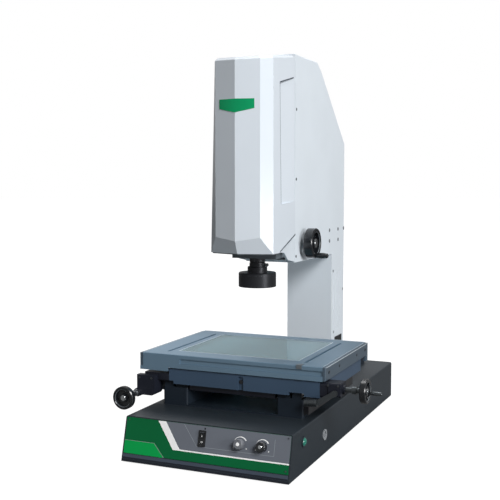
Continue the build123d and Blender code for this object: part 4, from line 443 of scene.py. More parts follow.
BLACK_ANODISED = Finish(
    "black_anodised", tone(50, 51, 55), 0.34, 0.6, grain=Grain.SATIN, relief=0.08, mottle=0.05,
    slot="anodised_black",
)
BRACKET_ANODISED = Finish(
    "bracket_anodised", tone(44, 48, 56), 0.36, 0.4, grain=Grain.SATIN, relief=0.08, mottle=0.05,
    slot="anodised_black",
)
GREY_ANODISED = Finish(
    "grey_anodised", tone(128, 136, 142), 0.32, 0.7, grain=Grain.SATIN, relief=0.08, mottle=0.04,
    slot="anodised_grey",
)
PALE_PLASTIC = Finish(
    "pale_plastic", tone(140, 144, 148), 0.5, grain=Grain.MOULDED, relief=0.1, mottle=0.05,
    slot="pale_plastic",
)
BRONZE = Finish(
    "bronze", tone(186, 152, 92), 0.32, 1.0, grain=Grain.BRUSHED, relief=0.1, mottle=0.05,
    slot="bronze_nut",
)
RUBBER = Finish(
    "rubber", tone(24, 24, 25), 0.8, grain=Grain.MOULDED, relief=0.3, mottle=0.12,
    slot="rubber_black",
)
PANEL_DARK_GREEN = Finish(
    "panel_dark_green", tone(2, 98, 54), 0.4, grain=Grain.MOULDED, relief=0.05, mottle=0.05, specular=0.2,
    slot="panel_green",
)
SILL_GREY = Finish(
    "sill_grey", tone(62, 72, 86), 0.42, grain=Grain.MOULDED, relief=0.08, mottle=0.05,
    slot="sill_green",
)
GREEN_DOME = Finish(
    "green_dome", tone(40, 112, 98), 0.16, grain=Grain.MOULDED, relief=0.02, mottle=0.12, coat=0.5,
    slot="green_button",
)
PLATE_GLASS = GlassFinish("plate_glass", tone(164, 206, 218), 0.03, 0.55, 0.9)
FROSTED_LENS = GlassFinish("frosted_lens", tone(232, 236, 232), 0.3, 0.6, slot="lamp_lens")

LEVER_METAL = Finish(
    "lever_metal", tone(92, 97, 100), 0.3, 0.85, grain=Grain.BRUSHED, relief=0.08, mottle=0.06, slot="steel"
)
END_METAL = Finish(
    "end_metal", tone(84, 100, 114), 0.32, 0.4, grain=Grain.SATIN, relief=0.08, mottle=0.04,
    slot="table_plate",
)
# Pale lines of painted highlight on the table's edges, joints and glass seat.
TABLE_EDGE_HIGHLIGHT = Finish(
    "table_edge_highlight", tone(212, 224, 230), 0.3, 0.3, grain=Grain.BRUSHED, relief=0.05, mottle=0.03,
    slot="table_plate",
)
TABLE_BAND = Finish(
    "table_band", tone(112, 146, 174), 0.3, 0.4, grain=Grain.BRUSHED, relief=0.05, mottle=0.03,
    slot="table_plate",
)
# Dark strips of painted shade in the side recesses and in the gap above the chin.
SLIT_SHADE = Finish(
    "slit_shade", tone(64, 72, 82), 0.6, grain=Grain.MOULDED, relief=0.05, mottle=0.05, slot="rubber_black"
)
# Dark finish for the band at the cabinet's foot, partly painted shade, and for the painted shadow on the
# sill.
SHADE_BAND = Finish(
    "foot_shade_band", tone(34, 38, 46), 0.5, grain=Grain.MOULDED, relief=0.1, mottle=0.05, specular=0.2,
    slot="painted_dark",
)


def ink(name: str, colour: Colour, roughness: float = 0.42, mottle: float = 0.03) -> Finish:
    """Describe a printed ink of the front panel.

    Args:
        name: the finish's name.
        colour: its colour.
        roughness: how dull it is.
        mottle: how much its colour varies.

    Returns:
        The finish.
    """
    return Finish(
        name, colour, roughness, grain=Grain.MOULDED, relief=0.04, mottle=mottle, specular=0.2,
        slot="panel_green",
    )


PRINT_INK = ink("print_ink", tone(40, 42, 48), roughness=0.5)
PRINT_LINE = ink("print_line", tone(142, 148, 154))
PRINT_GREY = ink("print_grey", tone(107, 112, 121))
PRINT_WHITE = ink("print_white", tone(252, 253, 252), mottle=0.02)
PRINT_BRIGHT_GREEN = ink("print_bright_green", tone(4, 158, 76), roughness=0.4, mottle=0.04)
PRINT_EDGE = ink("print_edge", tone(130, 148, 142))
PLATE_GREEN = Finish(
    "plate_green", tone(6, 152, 96), 0.34, grain=Grain.MOULDED, relief=0.03, mottle=0.03, specular=0.3,
    slot="panel_green",
)
SCREW_BLACK = Finish(
    "screw_black", tone(84, 88, 93), 0.35, 0.7, grain=Grain.SATIN, relief=0.06, mottle=0.05, slot="steel"
)
BRIGHT_STEEL = Finish(
    "bright_steel", tone(206, 210, 212), 0.2, 1.0, grain=Grain.BRUSHED, relief=0.05, mottle=0.03,
    slot="steel",
)
LED_WHITE = Finish(
    "led_white", tone(232, 234, 222), 0.25, grain=Grain.MOULDED, relief=0.02, mottle=0.02, coat=0.3,
    slot="lamp_lens",
)
KNOB_GREY = Finish(
    "knob_grey", tone(104, 107, 113), 0.4, grain=Grain.MOULDED, relief=0.06, mottle=0.05,
    slot="black_plastic",
)
DARK_NAVY = Finish(
    "dark_navy", tone(27, 30, 40), 0.42, grain=Grain.CAST, relief=0.15, mottle=0.08, specular=0.3,
    slot="casting_dark",
)

NODE_FINISHES: dict[str, Finish | GlassFinish] = {
    "base_housing": BASE_PAINT,
    "front_cover": BASE_PAINT,
    "front_panel": PANEL_DARK_GREEN,
    "front_sill": SILL_GREY,
    "bottom_plate": ZINC_SHEET,
    "rubber_feet": RUBBER,
    "bed": CASTING_PAINT,
    "y_rails": RAIL_STEEL,
    "y_scale": BLACK_ANODISED,
    "y_nut": BRACKET_ANODISED,
    "backlight_housing": BLACK_ANODISED,
    "backlight_lens": FROSTED_LENS,
    "power_supply": ZINC_SHEET,
    "mains_inlet": BLACK_MATTE,
    "signal_socket": PALE_PLASTIC,
    "switch_frame": BLACK_MATTE,
    "dimmer_pots": BLACK_MATTE,
    "column": COLUMN_PAINT,
    "rear_cover": COLUMN_PAINT,
    "z_backbone": CASTING_PAINT,
    "z_rails": RAIL_STEEL,
    "power_rocker": BLACK_GLOSS,
    "dimmer_knob_left": KNOB_GREY,
    "dimmer_knob_right": BLACK_GLOSS,
    "lamp_button": GREEN_DOME,
    "saddle": SADDLE_PAINT_AND_SHADE,
    "saddle_end_cap": DARK_NAVY,
    "x_rails": RAIL_STEEL,
    "y_bearings": DARK_NAVY,
    "x_drive_block": DARK_NAVY,
    "y_drive_bracket": DARK_NAVY,
    "x_scale": GREY_ANODISED,
    "x_drive_screw": LEVER_METAL,
    "x_handwheel": BLACK_GLOSS,
    "x_crank_grip": LEVER_METAL,
    "x_release_lever": LEVER_METAL,
    "y_drive_screw": GROUND_STEEL,
    "y_handwheel": BLACK_GLOSS,
    "saddle_lock": BLACK_MATTE,
    "table_frame": TABLE_METAL,
    "stage_glass": PLATE_GLASS,
    "x_bearings": RAIL_STEEL,
    "x_nut": BRONZE,
    "table_end_plates": END_METAL,
    "glass_clip": GREY_ANODISED,
    "z_screw": GROUND_STEEL,
    "z_drive_shaft": GROUND_STEEL,
    "z_handwheel": BLACK_GLOSS,
    "z_crank_grip": BLACK_GLOSS,
    "z_carriage": CASTING_PAINT,
    "z_bearings": RAIL_STEEL,
    "z_nut": BRONZE,
    "head_cover": COVER_PAINT,
    "head_chin": CHIN_PAINT,
    "head_base_plate": TRAY_PAINT,
    "camera": BLACK_ANODISED,
    "zoom_lens": BLACK_ANODISED,
    "zoom_ring": BLACK_ANODISED,
    "ring_light": BLACK_ANODISED,
    "ring_light_screw": GROUND_STEEL,
}


@dataclass
class FrameDress:
    """Gives every solid of the frame its finish."""

    nodes: dict[str, bpy.types.Object]
    materials: dict[str, bpy.types.Material] = field(default_factory=dict)

    def material(self, finish: Finish | GlassFinish) -> bpy.types.Material:
        """Make a finish's material, or return it where it is made already.

        Args:
            finish: the finish.

        Returns:
            Its material.
        """
        if finish.name not in self.materials:
            self.materials[finish.name] = finish.build()
        return self.materials[finish.name]

    def dress(self) -> None:
        """Put each node's finish on it."""
        for name, finish in NODE_FINISHES.items():
            solid = self.nodes[name]
            solid.data.materials.clear()
            solid.data.materials.append(self.material(finish))


class Workshop:
    """Makes meshes, gives them their finish and hands them to their body."""

    def __init__(self, dress: FrameDress) -> None:
        """Keep the store of finishes.

        Args:
            dress: the dresser that holds each finish's material.
        """
        self.dress = dress
        self.kept: list[bpy.types.Object] = []

    def keep(self, piece: bpy.types.Object, finish: Finish, body: str) -> None:
        """Give a piece its finish and the body that it rides on.

        Args:
            piece: the finished piece.
            finish: its finish.
            body: the body that carries it.
        """
        if not piece.data.materials:
            piece.data.materials.append(self.dress.material(finish))
        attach(piece, body)
        self.kept.append(piece)

    def shape(self, name: str, work: bmesh.types.BMesh) -> bpy.types.Object:
        """Close a bmesh into an object with outward normals and soft curves.

        Args:
            name: the piece's name.
            work: the bmesh, which is freed.

        Returns:
            The new object at the origin.
        """
        bmesh.ops.remove_doubles(work, verts=work.verts, dist=1e-7)
        bmesh.ops.dissolve_degenerate(work, dist=1e-8, edges=work.edges)
        bmesh.ops.recalc_face_normals(work, faces=work.faces)
        mesh = bpy.data.meshes.new(name)
        work.to_mesh(mesh)
        work.free()
        mesh.shade_smooth()
        mesh.set_sharp_from_angle(angle=SMOOTH_BELOW)
        piece = bpy.data.objects.new(name, mesh)
        bpy.context.scene.collection.objects.link(piece)
        return piece

    def plate(self, name: str, outline: list[Vector], lift: Vector) -> bpy.types.Object:
        """Raise a flat outline into a closed plate.

        Args:
            name: the piece's name.
            outline: its corners in order, in metres.
            lift: the way and the height by which it is raised, in metres.

        Returns:
            The plate.
        """
        work = bmesh.new()
        low = [work.verts.new(corner) for corner in outline]
        high = [work.verts.new(corner + lift) for corner in outline]
        work.faces.new(list(reversed(low)))
        work.faces.new(high)
        for step, corner in enumerate(low):
            after = (step + 1) % len(low)
            work.faces.new((corner, low[after], high[after], high[step]))
        return self.shape(name, work)

    def block(self, name: str, low: Vector, high: Vector) -> bpy.types.Object:
        """Make a box between two opposite corners.

        Args:
            name: the piece's name.
            low: its lowest corner.
            high: its highest corner.

        Returns:
            The box.
        """
        outline = [
            Vector((low.x, low.y, low.z)),
            Vector((high.x, low.y, low.z)),
            Vector((high.x, high.y, low.z)),
            Vector((low.x, high.y, low.z)),
        ]
        return self.plate(name, outline, Vector((0.0, 0.0, high.z - low.z)))

    def turned(
        self,
        name: str,
        profile: Sequence[tuple[float, float]],
        centre: Vector,
        facing: Vector,
        steps: int = 72,
    ) -> bpy.types.Object:
        """Turn a closed profile about an axis.

        Args:
            name: the piece's name.
            profile: radius and rise of each corner in millimetres.
            centre: where the axis meets rise zero.
            facing: the axis, towards growing rise.
            steps: sides around.

        Returns:
            The turned piece.
        """
        frame = facing.to_track_quat("Z", "X").to_matrix()
        work = bmesh.new()
        rows = []
        for step in range(steps):
            angle = 2.0 * math.pi * step / steps
            swing = Vector((math.cos(angle), math.sin(angle), 0.0))
            places = [centre + frame @ (swing * radius + UP * rise) * MM for radius, rise in profile]
            rows.append([work.verts.new(spot) for spot in places])
        for step, row in enumerate(rows):
            ahead = rows[(step + 1) % steps]
            for corner in range(len(profile)):
                after = (corner + 1) % len(profile)
                work.faces.new((row[corner], ahead[corner], ahead[after], row[after]))
        return self.shape(name, work)


class Tree:
    """A Geometry Nodes tree under construction."""

    def __init__(self, name: str) -> None:
        """Start the tree with its output.

        Args:
            name: the tree's name.
        """
        self.group = bpy.data.node_groups.new(name, "GeometryNodeTree")
        self.group.interface.new_socket(name="Mesh", in_out="OUTPUT", socket_type="NodeSocketGeometry")
        self.start = self.group.nodes.new("NodeGroupInput")
        self.end = self.group.nodes.new("NodeGroupOutput")
        self.identifiers: dict[str, str] = {}

    def input(self, name: str, kind: str = "NodeSocketFloat") -> bpy.types.NodeSocket:
        """Add a named input.

        Args:
            name: the input's name.
            kind: its socket type.

        Returns:
            The input's socket inside the tree.
        """
        made = self.group.interface.new_socket(name=name, in_out="INPUT", socket_type=kind)
        self.identifiers[name] = made.identifier
        return self.start.outputs[name]

    def node(self, kind: str, **values: object) -> bpy.types.Node:
        """Add a node.

        Args:
            kind: the node's type.
            values: properties to set on it.

        Returns:
            The node.
        """
        made = self.group.nodes.new(kind)
        for key, value in values.items():
            setattr(made, key, value)
        return made

    def link(self, source: bpy.types.NodeSocket, target: bpy.types.NodeSocket) -> None:
        """Join two sockets."""
        self.group.links.new(source, target)

    def vector(self, *parts: bpy.types.NodeSocket | None) -> bpy.types.NodeSocket:
        """Combine sockets into a vector.

        Args:
            parts: the sockets for X, Y and Z, or None for a zero.

        Returns:
            The vector's socket.
        """
        combined = self.node("ShaderNodeCombineXYZ")
        for part, socket in zip(parts, combined.inputs):
            if part is not None:
                self.link(part, socket)
        return combined.outputs[0]

    def scaled(self, value: bpy.types.NodeSocket, factor: float) -> bpy.types.NodeSocket:
        """Multiply a value.

        Args:
            value: the value's socket.
            factor: what it is multiplied by.

        Returns:
            The product's socket.
        """
        product = self.node("ShaderNodeMath", operation="MULTIPLY")
        product.inputs[1].default_value = factor
        self.link(value, product.inputs[0])
        return product.outputs[0]

    def finish(
        self,
        points: bpy.types.NodeSocket,
        instance: bpy.types.NodeSocket,
        rotation: bpy.types.NodeSocket | None = None,
    ) -> None:
        """Set the instance on every point, realise the copies and give them the finish.

        Args:
            points: the geometry whose points carry copies.
            instance: the geometry that is copied.
            rotation: each copy's rotation, if it turns.
        """
        copies = self.node("GeometryNodeInstanceOnPoints")
        self.link(points, copies.inputs["Points"])
        self.link(instance, copies.inputs["Instance"])
        if rotation is not None:
            self.link(rotation, copies.inputs["Rotation"])
        real = self.node("GeometryNodeRealizeInstances")
        self.link(copies.outputs[0], real.inputs[0])
        dressed = self.node("GeometryNodeSetMaterial")
        self.link(real.outputs[0], dressed.inputs["Geometry"])
        self.link(self.input("Finish", "NodeSocketMaterial"), dressed.inputs["Material"])
        self.link(dressed.outputs[0], self.end.inputs[0])


class Repeater:
    """Trees for the machine's repeated small parts, and their conversion to plain meshes."""

    SCREW_SIDES = 28
    SOCKET_SIDES = 6
    SOCKET_LIFT = 0.4
    SOCKET_SHARE = 0.5
    HEAD_LIFT = 0.4
    RIB_SIDES = 40

    def __init__(self, shop: Workshop) -> None:
        """Build the trees.

        Args:
            shop: the workshop that dresses and keeps the pieces.
        """
        self.shop = shop
        self.crown = self.crown_tree()
        self.screw = self.screw_tree()
        self.ribs = self.ribs_tree()

    def crown_tree(self) -> Tree:
        """Build the tree for round dots set in a circle about Z.

        Returns:
            The tree.
        """
        tree = Tree("crown_of_dots")
        count = tree.input("Count", "NodeSocketInt")
        circle = tree.node("GeometryNodeMeshCircle")
        tree.link(count, circle.inputs["Vertices"])
        tree.link(tree.input("Radius"), circle.inputs["Radius"])
        dot = tree.node("GeometryNodeMeshCylinder")
        tree.link(tree.input("Sides", "NodeSocketInt"), dot.inputs["Vertices"])
        tree.link(tree.input("Dot"), dot.inputs["Radius"])
        tree.link(tree.input("Height"), dot.inputs["Depth"])
        index = tree.node("GeometryNodeInputIndex")
        share = tree.node("ShaderNodeMath", operation="DIVIDE")
        tree.link(index.outputs[0], share.inputs[0])
        tree.link(count, share.inputs[1])
        angle = tree.scaled(share.outputs[0], 2.0 * math.pi)
        tree.finish(circle.outputs[0], dot.outputs[0], tree.vector(None, None, angle))
        return tree

    def screw_tree(self) -> Tree:
        """Build the tree for socket screws on the points of the carrying mesh.

        Returns:
            The tree.
        """
        tree = Tree("socket_screws")
        seeds = tree.input("Places", "NodeSocketGeometry")
        radius = tree.input("Radius")
        height = tree.input("Height")
        head = tree.node("GeometryNodeMeshCylinder")
        head.inputs["Vertices"].default_value = self.SCREW_SIDES
        tree.link(radius, head.inputs["Radius"])
        tree.link(height, head.inputs["Depth"])
        bore = tree.node("GeometryNodeMeshCylinder")
        bore.inputs["Vertices"].default_value = self.SOCKET_SIDES
        tree.link(tree.input("Socket"), bore.inputs["Radius"])
        tree.link(height, bore.inputs["Depth"])
        raised = tree.node("GeometryNodeTransform")
        tree.link(bore.outputs[0], raised.inputs["Geometry"])
        lift = tree.scaled(height, self.SOCKET_LIFT)
        tree.link(tree.vector(None, None, lift), raised.inputs["Translation"])
        hollow = tree.node("GeometryNodeMeshBoolean", operation="DIFFERENCE")
        tree.link(head.outputs[0], hollow.inputs["Mesh 1"])
        tree.link(raised.outputs[0], hollow.inputs["Mesh 2"])
        tree.finish(seeds, hollow.outputs[0])
        return tree

    def ribs_tree(self) -> Tree:
        """Build the tree for round ribs stacked along Z, as on a thread.

        Returns:
            The tree.
        """
        tree = Tree("round_ribs")
        line = tree.node("GeometryNodeMeshLine")
        tree.link(tree.input("Count", "NodeSocketInt"), line.inputs["Count"])
        tree.link(tree.vector(None, None, tree.input("Pitch")), line.inputs["Offset"])
        rib = tree.node("GeometryNodeMeshCylinder")
        rib.inputs["Vertices"].default_value = self.RIB_SIDES
        tree.link(tree.input("Radius"), rib.inputs["Radius"])
        tree.link(tree.input("Height"), rib.inputs["Depth"])
        tree.finish(line.outputs[0], rib.outputs[0])
        return tree

    def grow(
        self,
        tree: Tree,
        name: str,
        body: str,
        finish: Finish,
        origin: Vector,
        facing: Vector,
        along: Vector,
        sizes: dict[str, float | int],
        seeds: list[Vector] | None = None,
    ) -> None:
        """Run a tree, turn its result into a plain mesh in its place and keep it.

        Args:
            tree: the tree to run.
            name: the piece's name.
            body: the body that carries it.
            finish: its finish.
            origin: the frame place of the tree's origin.
            facing: the frame direction of the tree's Z.
            along: the frame direction of the tree's X.
            sizes: the inputs, lengths in millimetres.
            seeds: places for the tree's carrying points, in millimetres of its own X, Y and Z.
        """
        carrier = bpy.data.meshes.new(name + "_places")
        carrier.from_pydata([seed * MM for seed in seeds or []], [], [])
        piece = bpy.data.objects.new(name, carrier)
        bpy.context.scene.collection.objects.link(piece)
        modifier = piece.modifiers.new("grow", "NODES")
        modifier.node_group = tree.group
        modifier[tree.identifiers["Finish"]] = self.shop.dress.material(finish)
        for label, size in sizes.items():
            modifier[tree.identifiers[label]] = size if isinstance(size, int) else size * MM
        graph = bpy.context.evaluated_depsgraph_get()
        plain = bpy.data.meshes.new_from_object(piece.evaluated_get(graph), depsgraph=graph)
        piece.modifiers.clear()
        piece.data = plain
        plain.transform(Matrix((along, facing.cross(along), facing)).transposed().to_4x4())
        plain.transform(Matrix.Translation(origin))
        plain.shade_smooth()
        plain.set_sharp_from_angle(angle=SMOOTH_BELOW)
        self.shop.keep(piece, finish, body)

    def screws(
        self,
        name: str,
        body: str,
        places: list[Vector],
        facing: Vector,
        radius: float,
        finish: Finish,
        height: float,
    ) -> None:
        """Set socket screws at frame places, all facing one way.

        Args:
            name: the piece's name.
            body: the body that carries them.
            places: where each head meets its surface.
            facing: the way the heads face.
            radius: the heads' radius in millimetres.
            finish: their finish.
            height: the heads' height in millimetres.
        """
        along = UP.cross(facing).normalized()
        across = facing.cross(along)
        seeds = []
        for spot in places:
            offset = (spot - places[0]) / MM
            seeds.append(Vector((offset.dot(along), offset.dot(across), offset.dot(facing))))
        sizes = {"Radius": radius, "Height": height, "Socket": radius * self.SOCKET_SHARE}
        origin = places[0] + facing * (height * self.HEAD_LIFT) * MM
        self.grow(self.screw, name, body, finish, origin, facing, along, sizes, seeds)


@dataclass
class FrontPanel:
    """Prints, lines and small parts on the sloped front, in millimetres across it and up its slope."""

    shop: Workshop
    repeat: Repeater
    film: float = 0.12
    half_width: float = 172.2
    print_top: float = 85.3
    field_low: float = 36.2
    stripe_low: float = 33.6
    green_low: float = 16.5
    bright_top: float = 41.0
    bright_line: float = 0.9
    frame_top: float = 84.6
    frame_low: float = 45.4
    frame_right: float = 141.0
    frame_line: float = 0.8
    foot_half: float = 174.6
    foot_levels: tuple[float, float] = (0.6, 4.1)
    sill_levels: tuple[float, float] = (5.8, 9.0)
    sill_face: float = 0.7
    sill_band: float = 0.1
    switch_mark: tuple[tuple[float, float], ...] = ((-3.0, 78.6), (0.0, 78.6), (0.0, 82.2), (-3.0, 82.2))
    field_slant: tuple[float, float] = (-86.0, -51.0)
    stripe_slant: tuple[float, float] = (-103.0, -65.5)
    bright_slant: tuple[float, float] = (-107.0, -84.0)
    bright_line_slant: tuple[float, float] = (-106.4, -82.6)
    frame_slant: tuple[float, float] = (-47.0, -16.4)
    frame_inner_slant: tuple[float, float] = (-46.0, -16.0)
    frame_end: float = 76.0
    dimmer_xs: tuple[float, float] = (73.0, 117.5)
    dimmer_v: float = 60.0
    cap_profile: tuple[tuple[float, float], ...] = (
        (0.0, 13.25), (3.4, 13.25), (3.4, 13.6), (3.0, 13.9), (0.0, 13.9),
    )
    arc_radius: float = 13.5
    arc_start: float = 150.0
    arc_end: float = 35.0
    arc_thin: float = 0.5
    arc_thick: float = 2.4
    arc_steps: int = 20
    dot_reach: float = 13.0
    dot_drop: float = 7.0
    dot_radius: float = 1.1
    rocker_x: float = -6.0
    rocker_v: float = 61.5
    rocker_depth: float = -3.0
    rocker_tilt: float = 8.0
    rocker_slope: float = 0.114
    rocker_face: float = 4.5
    rocker_line: tuple[tuple[float, float], ...] = ((-0.5, 3.4), (0.5, 3.4), (0.5, 7.4), (-0.5, 7.4))
    rocker_line_rise: float = 0.45
    rocker_ring_run: float = -6.0
    rocker_ring_rise: float = 4.6
    rocker_ring: tuple[tuple[float, float], ...] = ((1.2, 0.0), (1.9, 0.0), (1.9, 0.5), (1.2, 0.5))
    screw_spots: tuple[tuple[float, float], ...] = ((167.0, 81.0), (167.0, 22.0), (-167.0, 81.0))

    def print_shape(
        self, name: str, corners: Sequence[tuple[float, float]], finish: Finish, layer: int = 1
    ) -> None:
        """Lay one printed field on the panel.

        Args:
            name: the piece's name.
            corners: its corners, across and up the slope.
            finish: its ink.
            layer: which film it is, counted from the panel.
        """
        outline = [fascia(x, v, (layer - 1) * self.film) for x, v in corners]
        piece = self.shop.plate(name, outline, FASCIA_FACING * self.film * MM)
        self.shop.keep(piece, finish, "machine")

    def print_fields(self) -> None:
        """Print the grey field, the bright green one, the white stripe and their fine lines."""
        edge = self.half_width
        top = self.print_top
        bright = self.bright_top
        rim = bright + self.bright_line
        low = self.green_low
        field_left, field_foot = self.field_slant
        stripe_left, stripe_foot = self.stripe_slant
        bright_left, bright_foot = self.bright_slant
        rim_left, rim_foot = self.bright_line_slant
        self.print_shape(
            "print_control_field",
            [(field_left, top), (field_foot, self.field_low), (edge, self.field_low), (edge, top)],
            PRINT_GREY,
        )
        self.print_shape(
            "print_bright_field",
            [(-edge, low), (-edge, bright), (bright_left, bright), (bright_foot, low)],
            PRINT_BRIGHT_GREEN,
        )
        self.print_shape(
            "print_stripe",
            [
                (stripe_left, top), (stripe_foot, self.stripe_low), (edge, self.stripe_low),
                (edge, self.field_low), (field_foot, self.field_low), (field_left, top),
            ],
            PRINT_WHITE,
        )
        self.print_shape(
            "print_bright_edge",
            [
                (-edge, bright), (-edge, rim), (rim_left, rim),
                (rim_foot, low), (bright_foot, low), (bright_left, bright),
            ],
            PRINT_EDGE,
        )

    def print_frame(self) -> None:
        """Print the fine frame round the controls."""
        low = self.frame_low
        upper = low + self.frame_line
        right = self.frame_right
        outer_top, outer_foot = self.frame_slant
        inner_top, inner_foot = self.frame_inner_slant
        self.print_shape(
            "print_frame_line",
            [
                (outer_top, self.frame_top), (outer_foot, low), (right, low),
                (right, upper), (inner_foot, upper), (inner_top, self.frame_top),
            ],
            PRINT_LINE,
            2,
        )
        outer = right + self.frame_line
        end = self.frame_end
        corners = [(right, low), (outer, low), (outer, end), (right, end)]
        self.print_shape("print_frame_end", corners, PRINT_LINE, 2)

    def bands(self) -> None:
        """Lay the dark band at the cabinet's foot, partly painted shade, and the painted shadow band on the
        sill.
        """
        low, high = self.foot_levels
        foot = self.foot_half
        # The foot band is partly painted shade.
        self.print_shape("foot_shade_band", [(-foot, low), (foot, low), (foot, high), (-foot, high)], SHADE_BAND)
        low, high = self.sill_levels
        edge = self.half_width
        corners = ((-edge, low), (edge, low), (edge, high), (-edge, high))
        outline = [fascia(x, v, self.sill_face) for x, v in corners]
        shade = self.shop.plate("sill_shadow_band", outline, FASCIA_FACING * self.sill_band * MM)
        self.shop.keep(shade, SHADE_BAND, "machine")

    def rocker_point(self, x: float, run: float, rise: float) -> Vector:
        """Return a place on the tilted rocker.

        Args:
            x: millimetres to the right of the centre plane.
            run: millimetres along the rocker from its pin.
            rise: millimetres off its pin's level.

        Returns:
            The place in frame metres.
        """
        tilt = math.radians(self.rocker_tilt)
        v = self.rocker_v + run * math.cos(tilt) - rise * math.sin(tilt)
        w = self.rocker_depth + run * math.sin(tilt) + rise * math.cos(tilt)
        return fascia(x, v, w)

    def rocker_marks(self) -> None:
        """Set the line and the ring on the rocker's two ends."""
        facing = (self.rocker_point(0.0, 0.0, 1.0) - self.rocker_point(0.0, 0.0, 0.0)).normalized()
        line = [
            self.rocker_point(self.rocker_x + x, run, self.rocker_face + self.rocker_slope * run)
            for x, run in self.rocker_line
        ]
        stroke = self.shop.plate("rocker_line", line, facing * self.rocker_line_rise * MM)
        self.shop.keep(stroke, PRINT_WHITE, "rocker")
        centre = self.rocker_point(self.rocker_x, self.rocker_ring_run, self.rocker_ring_rise)
        ring = self.shop.turned("rocker_ring", self.rocker_ring, centre, facing, 32)
        self.shop.keep(ring, PRINT_WHITE, "rocker")

    def knob_caps(self) -> None:
        """Set the round cap on each dimmer's knob."""
        for label, dimmer_x, finish in zip(("left", "right"), self.dimmer_xs, (PRINT_WHITE, BRIGHT_STEEL)):
            centre = fascia(dimmer_x, self.dimmer_v)
            cap = self.shop.turned(f"{label}_knob_cap", self.cap_profile, centre, FASCIA_FACING, 36)
            self.shop.keep(cap, finish, f"{label}_dimmer")

    def arc(self, name: str, x: float) -> None:
        """Print the arc about a dimmer, which starts thin and ends thick.

        Args:
            name: the piece's name.
            x: the dimmer's place.
        """
        outer = []
        inner = []
        thin = self.arc_thin / 2
        for step in range(self.arc_steps + 1):
            share = step / self.arc_steps
            angle = math.radians(self.arc_start + (self.arc_end - self.arc_start) * share)
            half = thin + (self.arc_thick / 2 - thin) * share
            for side, points in ((half, outer), (-half, inner)):
                reach = self.arc_radius + side
                points.append((x + reach * math.cos(angle), self.dimmer_v + reach * math.sin(angle)))
        self.print_shape(name, outer + inner[::-1], PRINT_WHITE, 2)

    def dots(self) -> None:
        """Print the dots at the ends of each dimmer's way."""
        profile = [(0.0, 0.0), (self.dot_radius, 0.0), (self.dot_radius, self.film), (0.0, self.film)]
        for label, dimmer_x in zip(("left", "right"), self.dimmer_xs):
            for side, offset in (("low", -self.dot_reach), ("high", self.dot_reach)):
                centre = fascia(dimmer_x + offset, self.dimmer_v - self.dot_drop, self.film)
                dot = self.shop.turned(f"print_{label}_{side}_dot", profile, centre, FASCIA_FACING, 24)
                self.shop.keep(dot, PRINT_WHITE, "machine")

    def build(self) -> None:
        """Lay all prints and set the panel's screws."""
        self.print_fields()
        self.print_frame()
        self.bands()
        self.rocker_marks()
        self.print_shape("print_switch_mark", self.switch_mark, PRINT_INK, 2)
        self.knob_caps()
        self.arc("print_left_arc", self.dimmer_xs[0])
        self.arc("print_right_arc", self.dimmer_xs[1])
        self.dots()
        spots = [fascia(x, v, 0.2) for x, v in self.screw_spots]
        self.repeat.screws("panel_screws", "machine", spots, FASCIA_FACING, 1.6, SCREW_BLACK, 0.6)


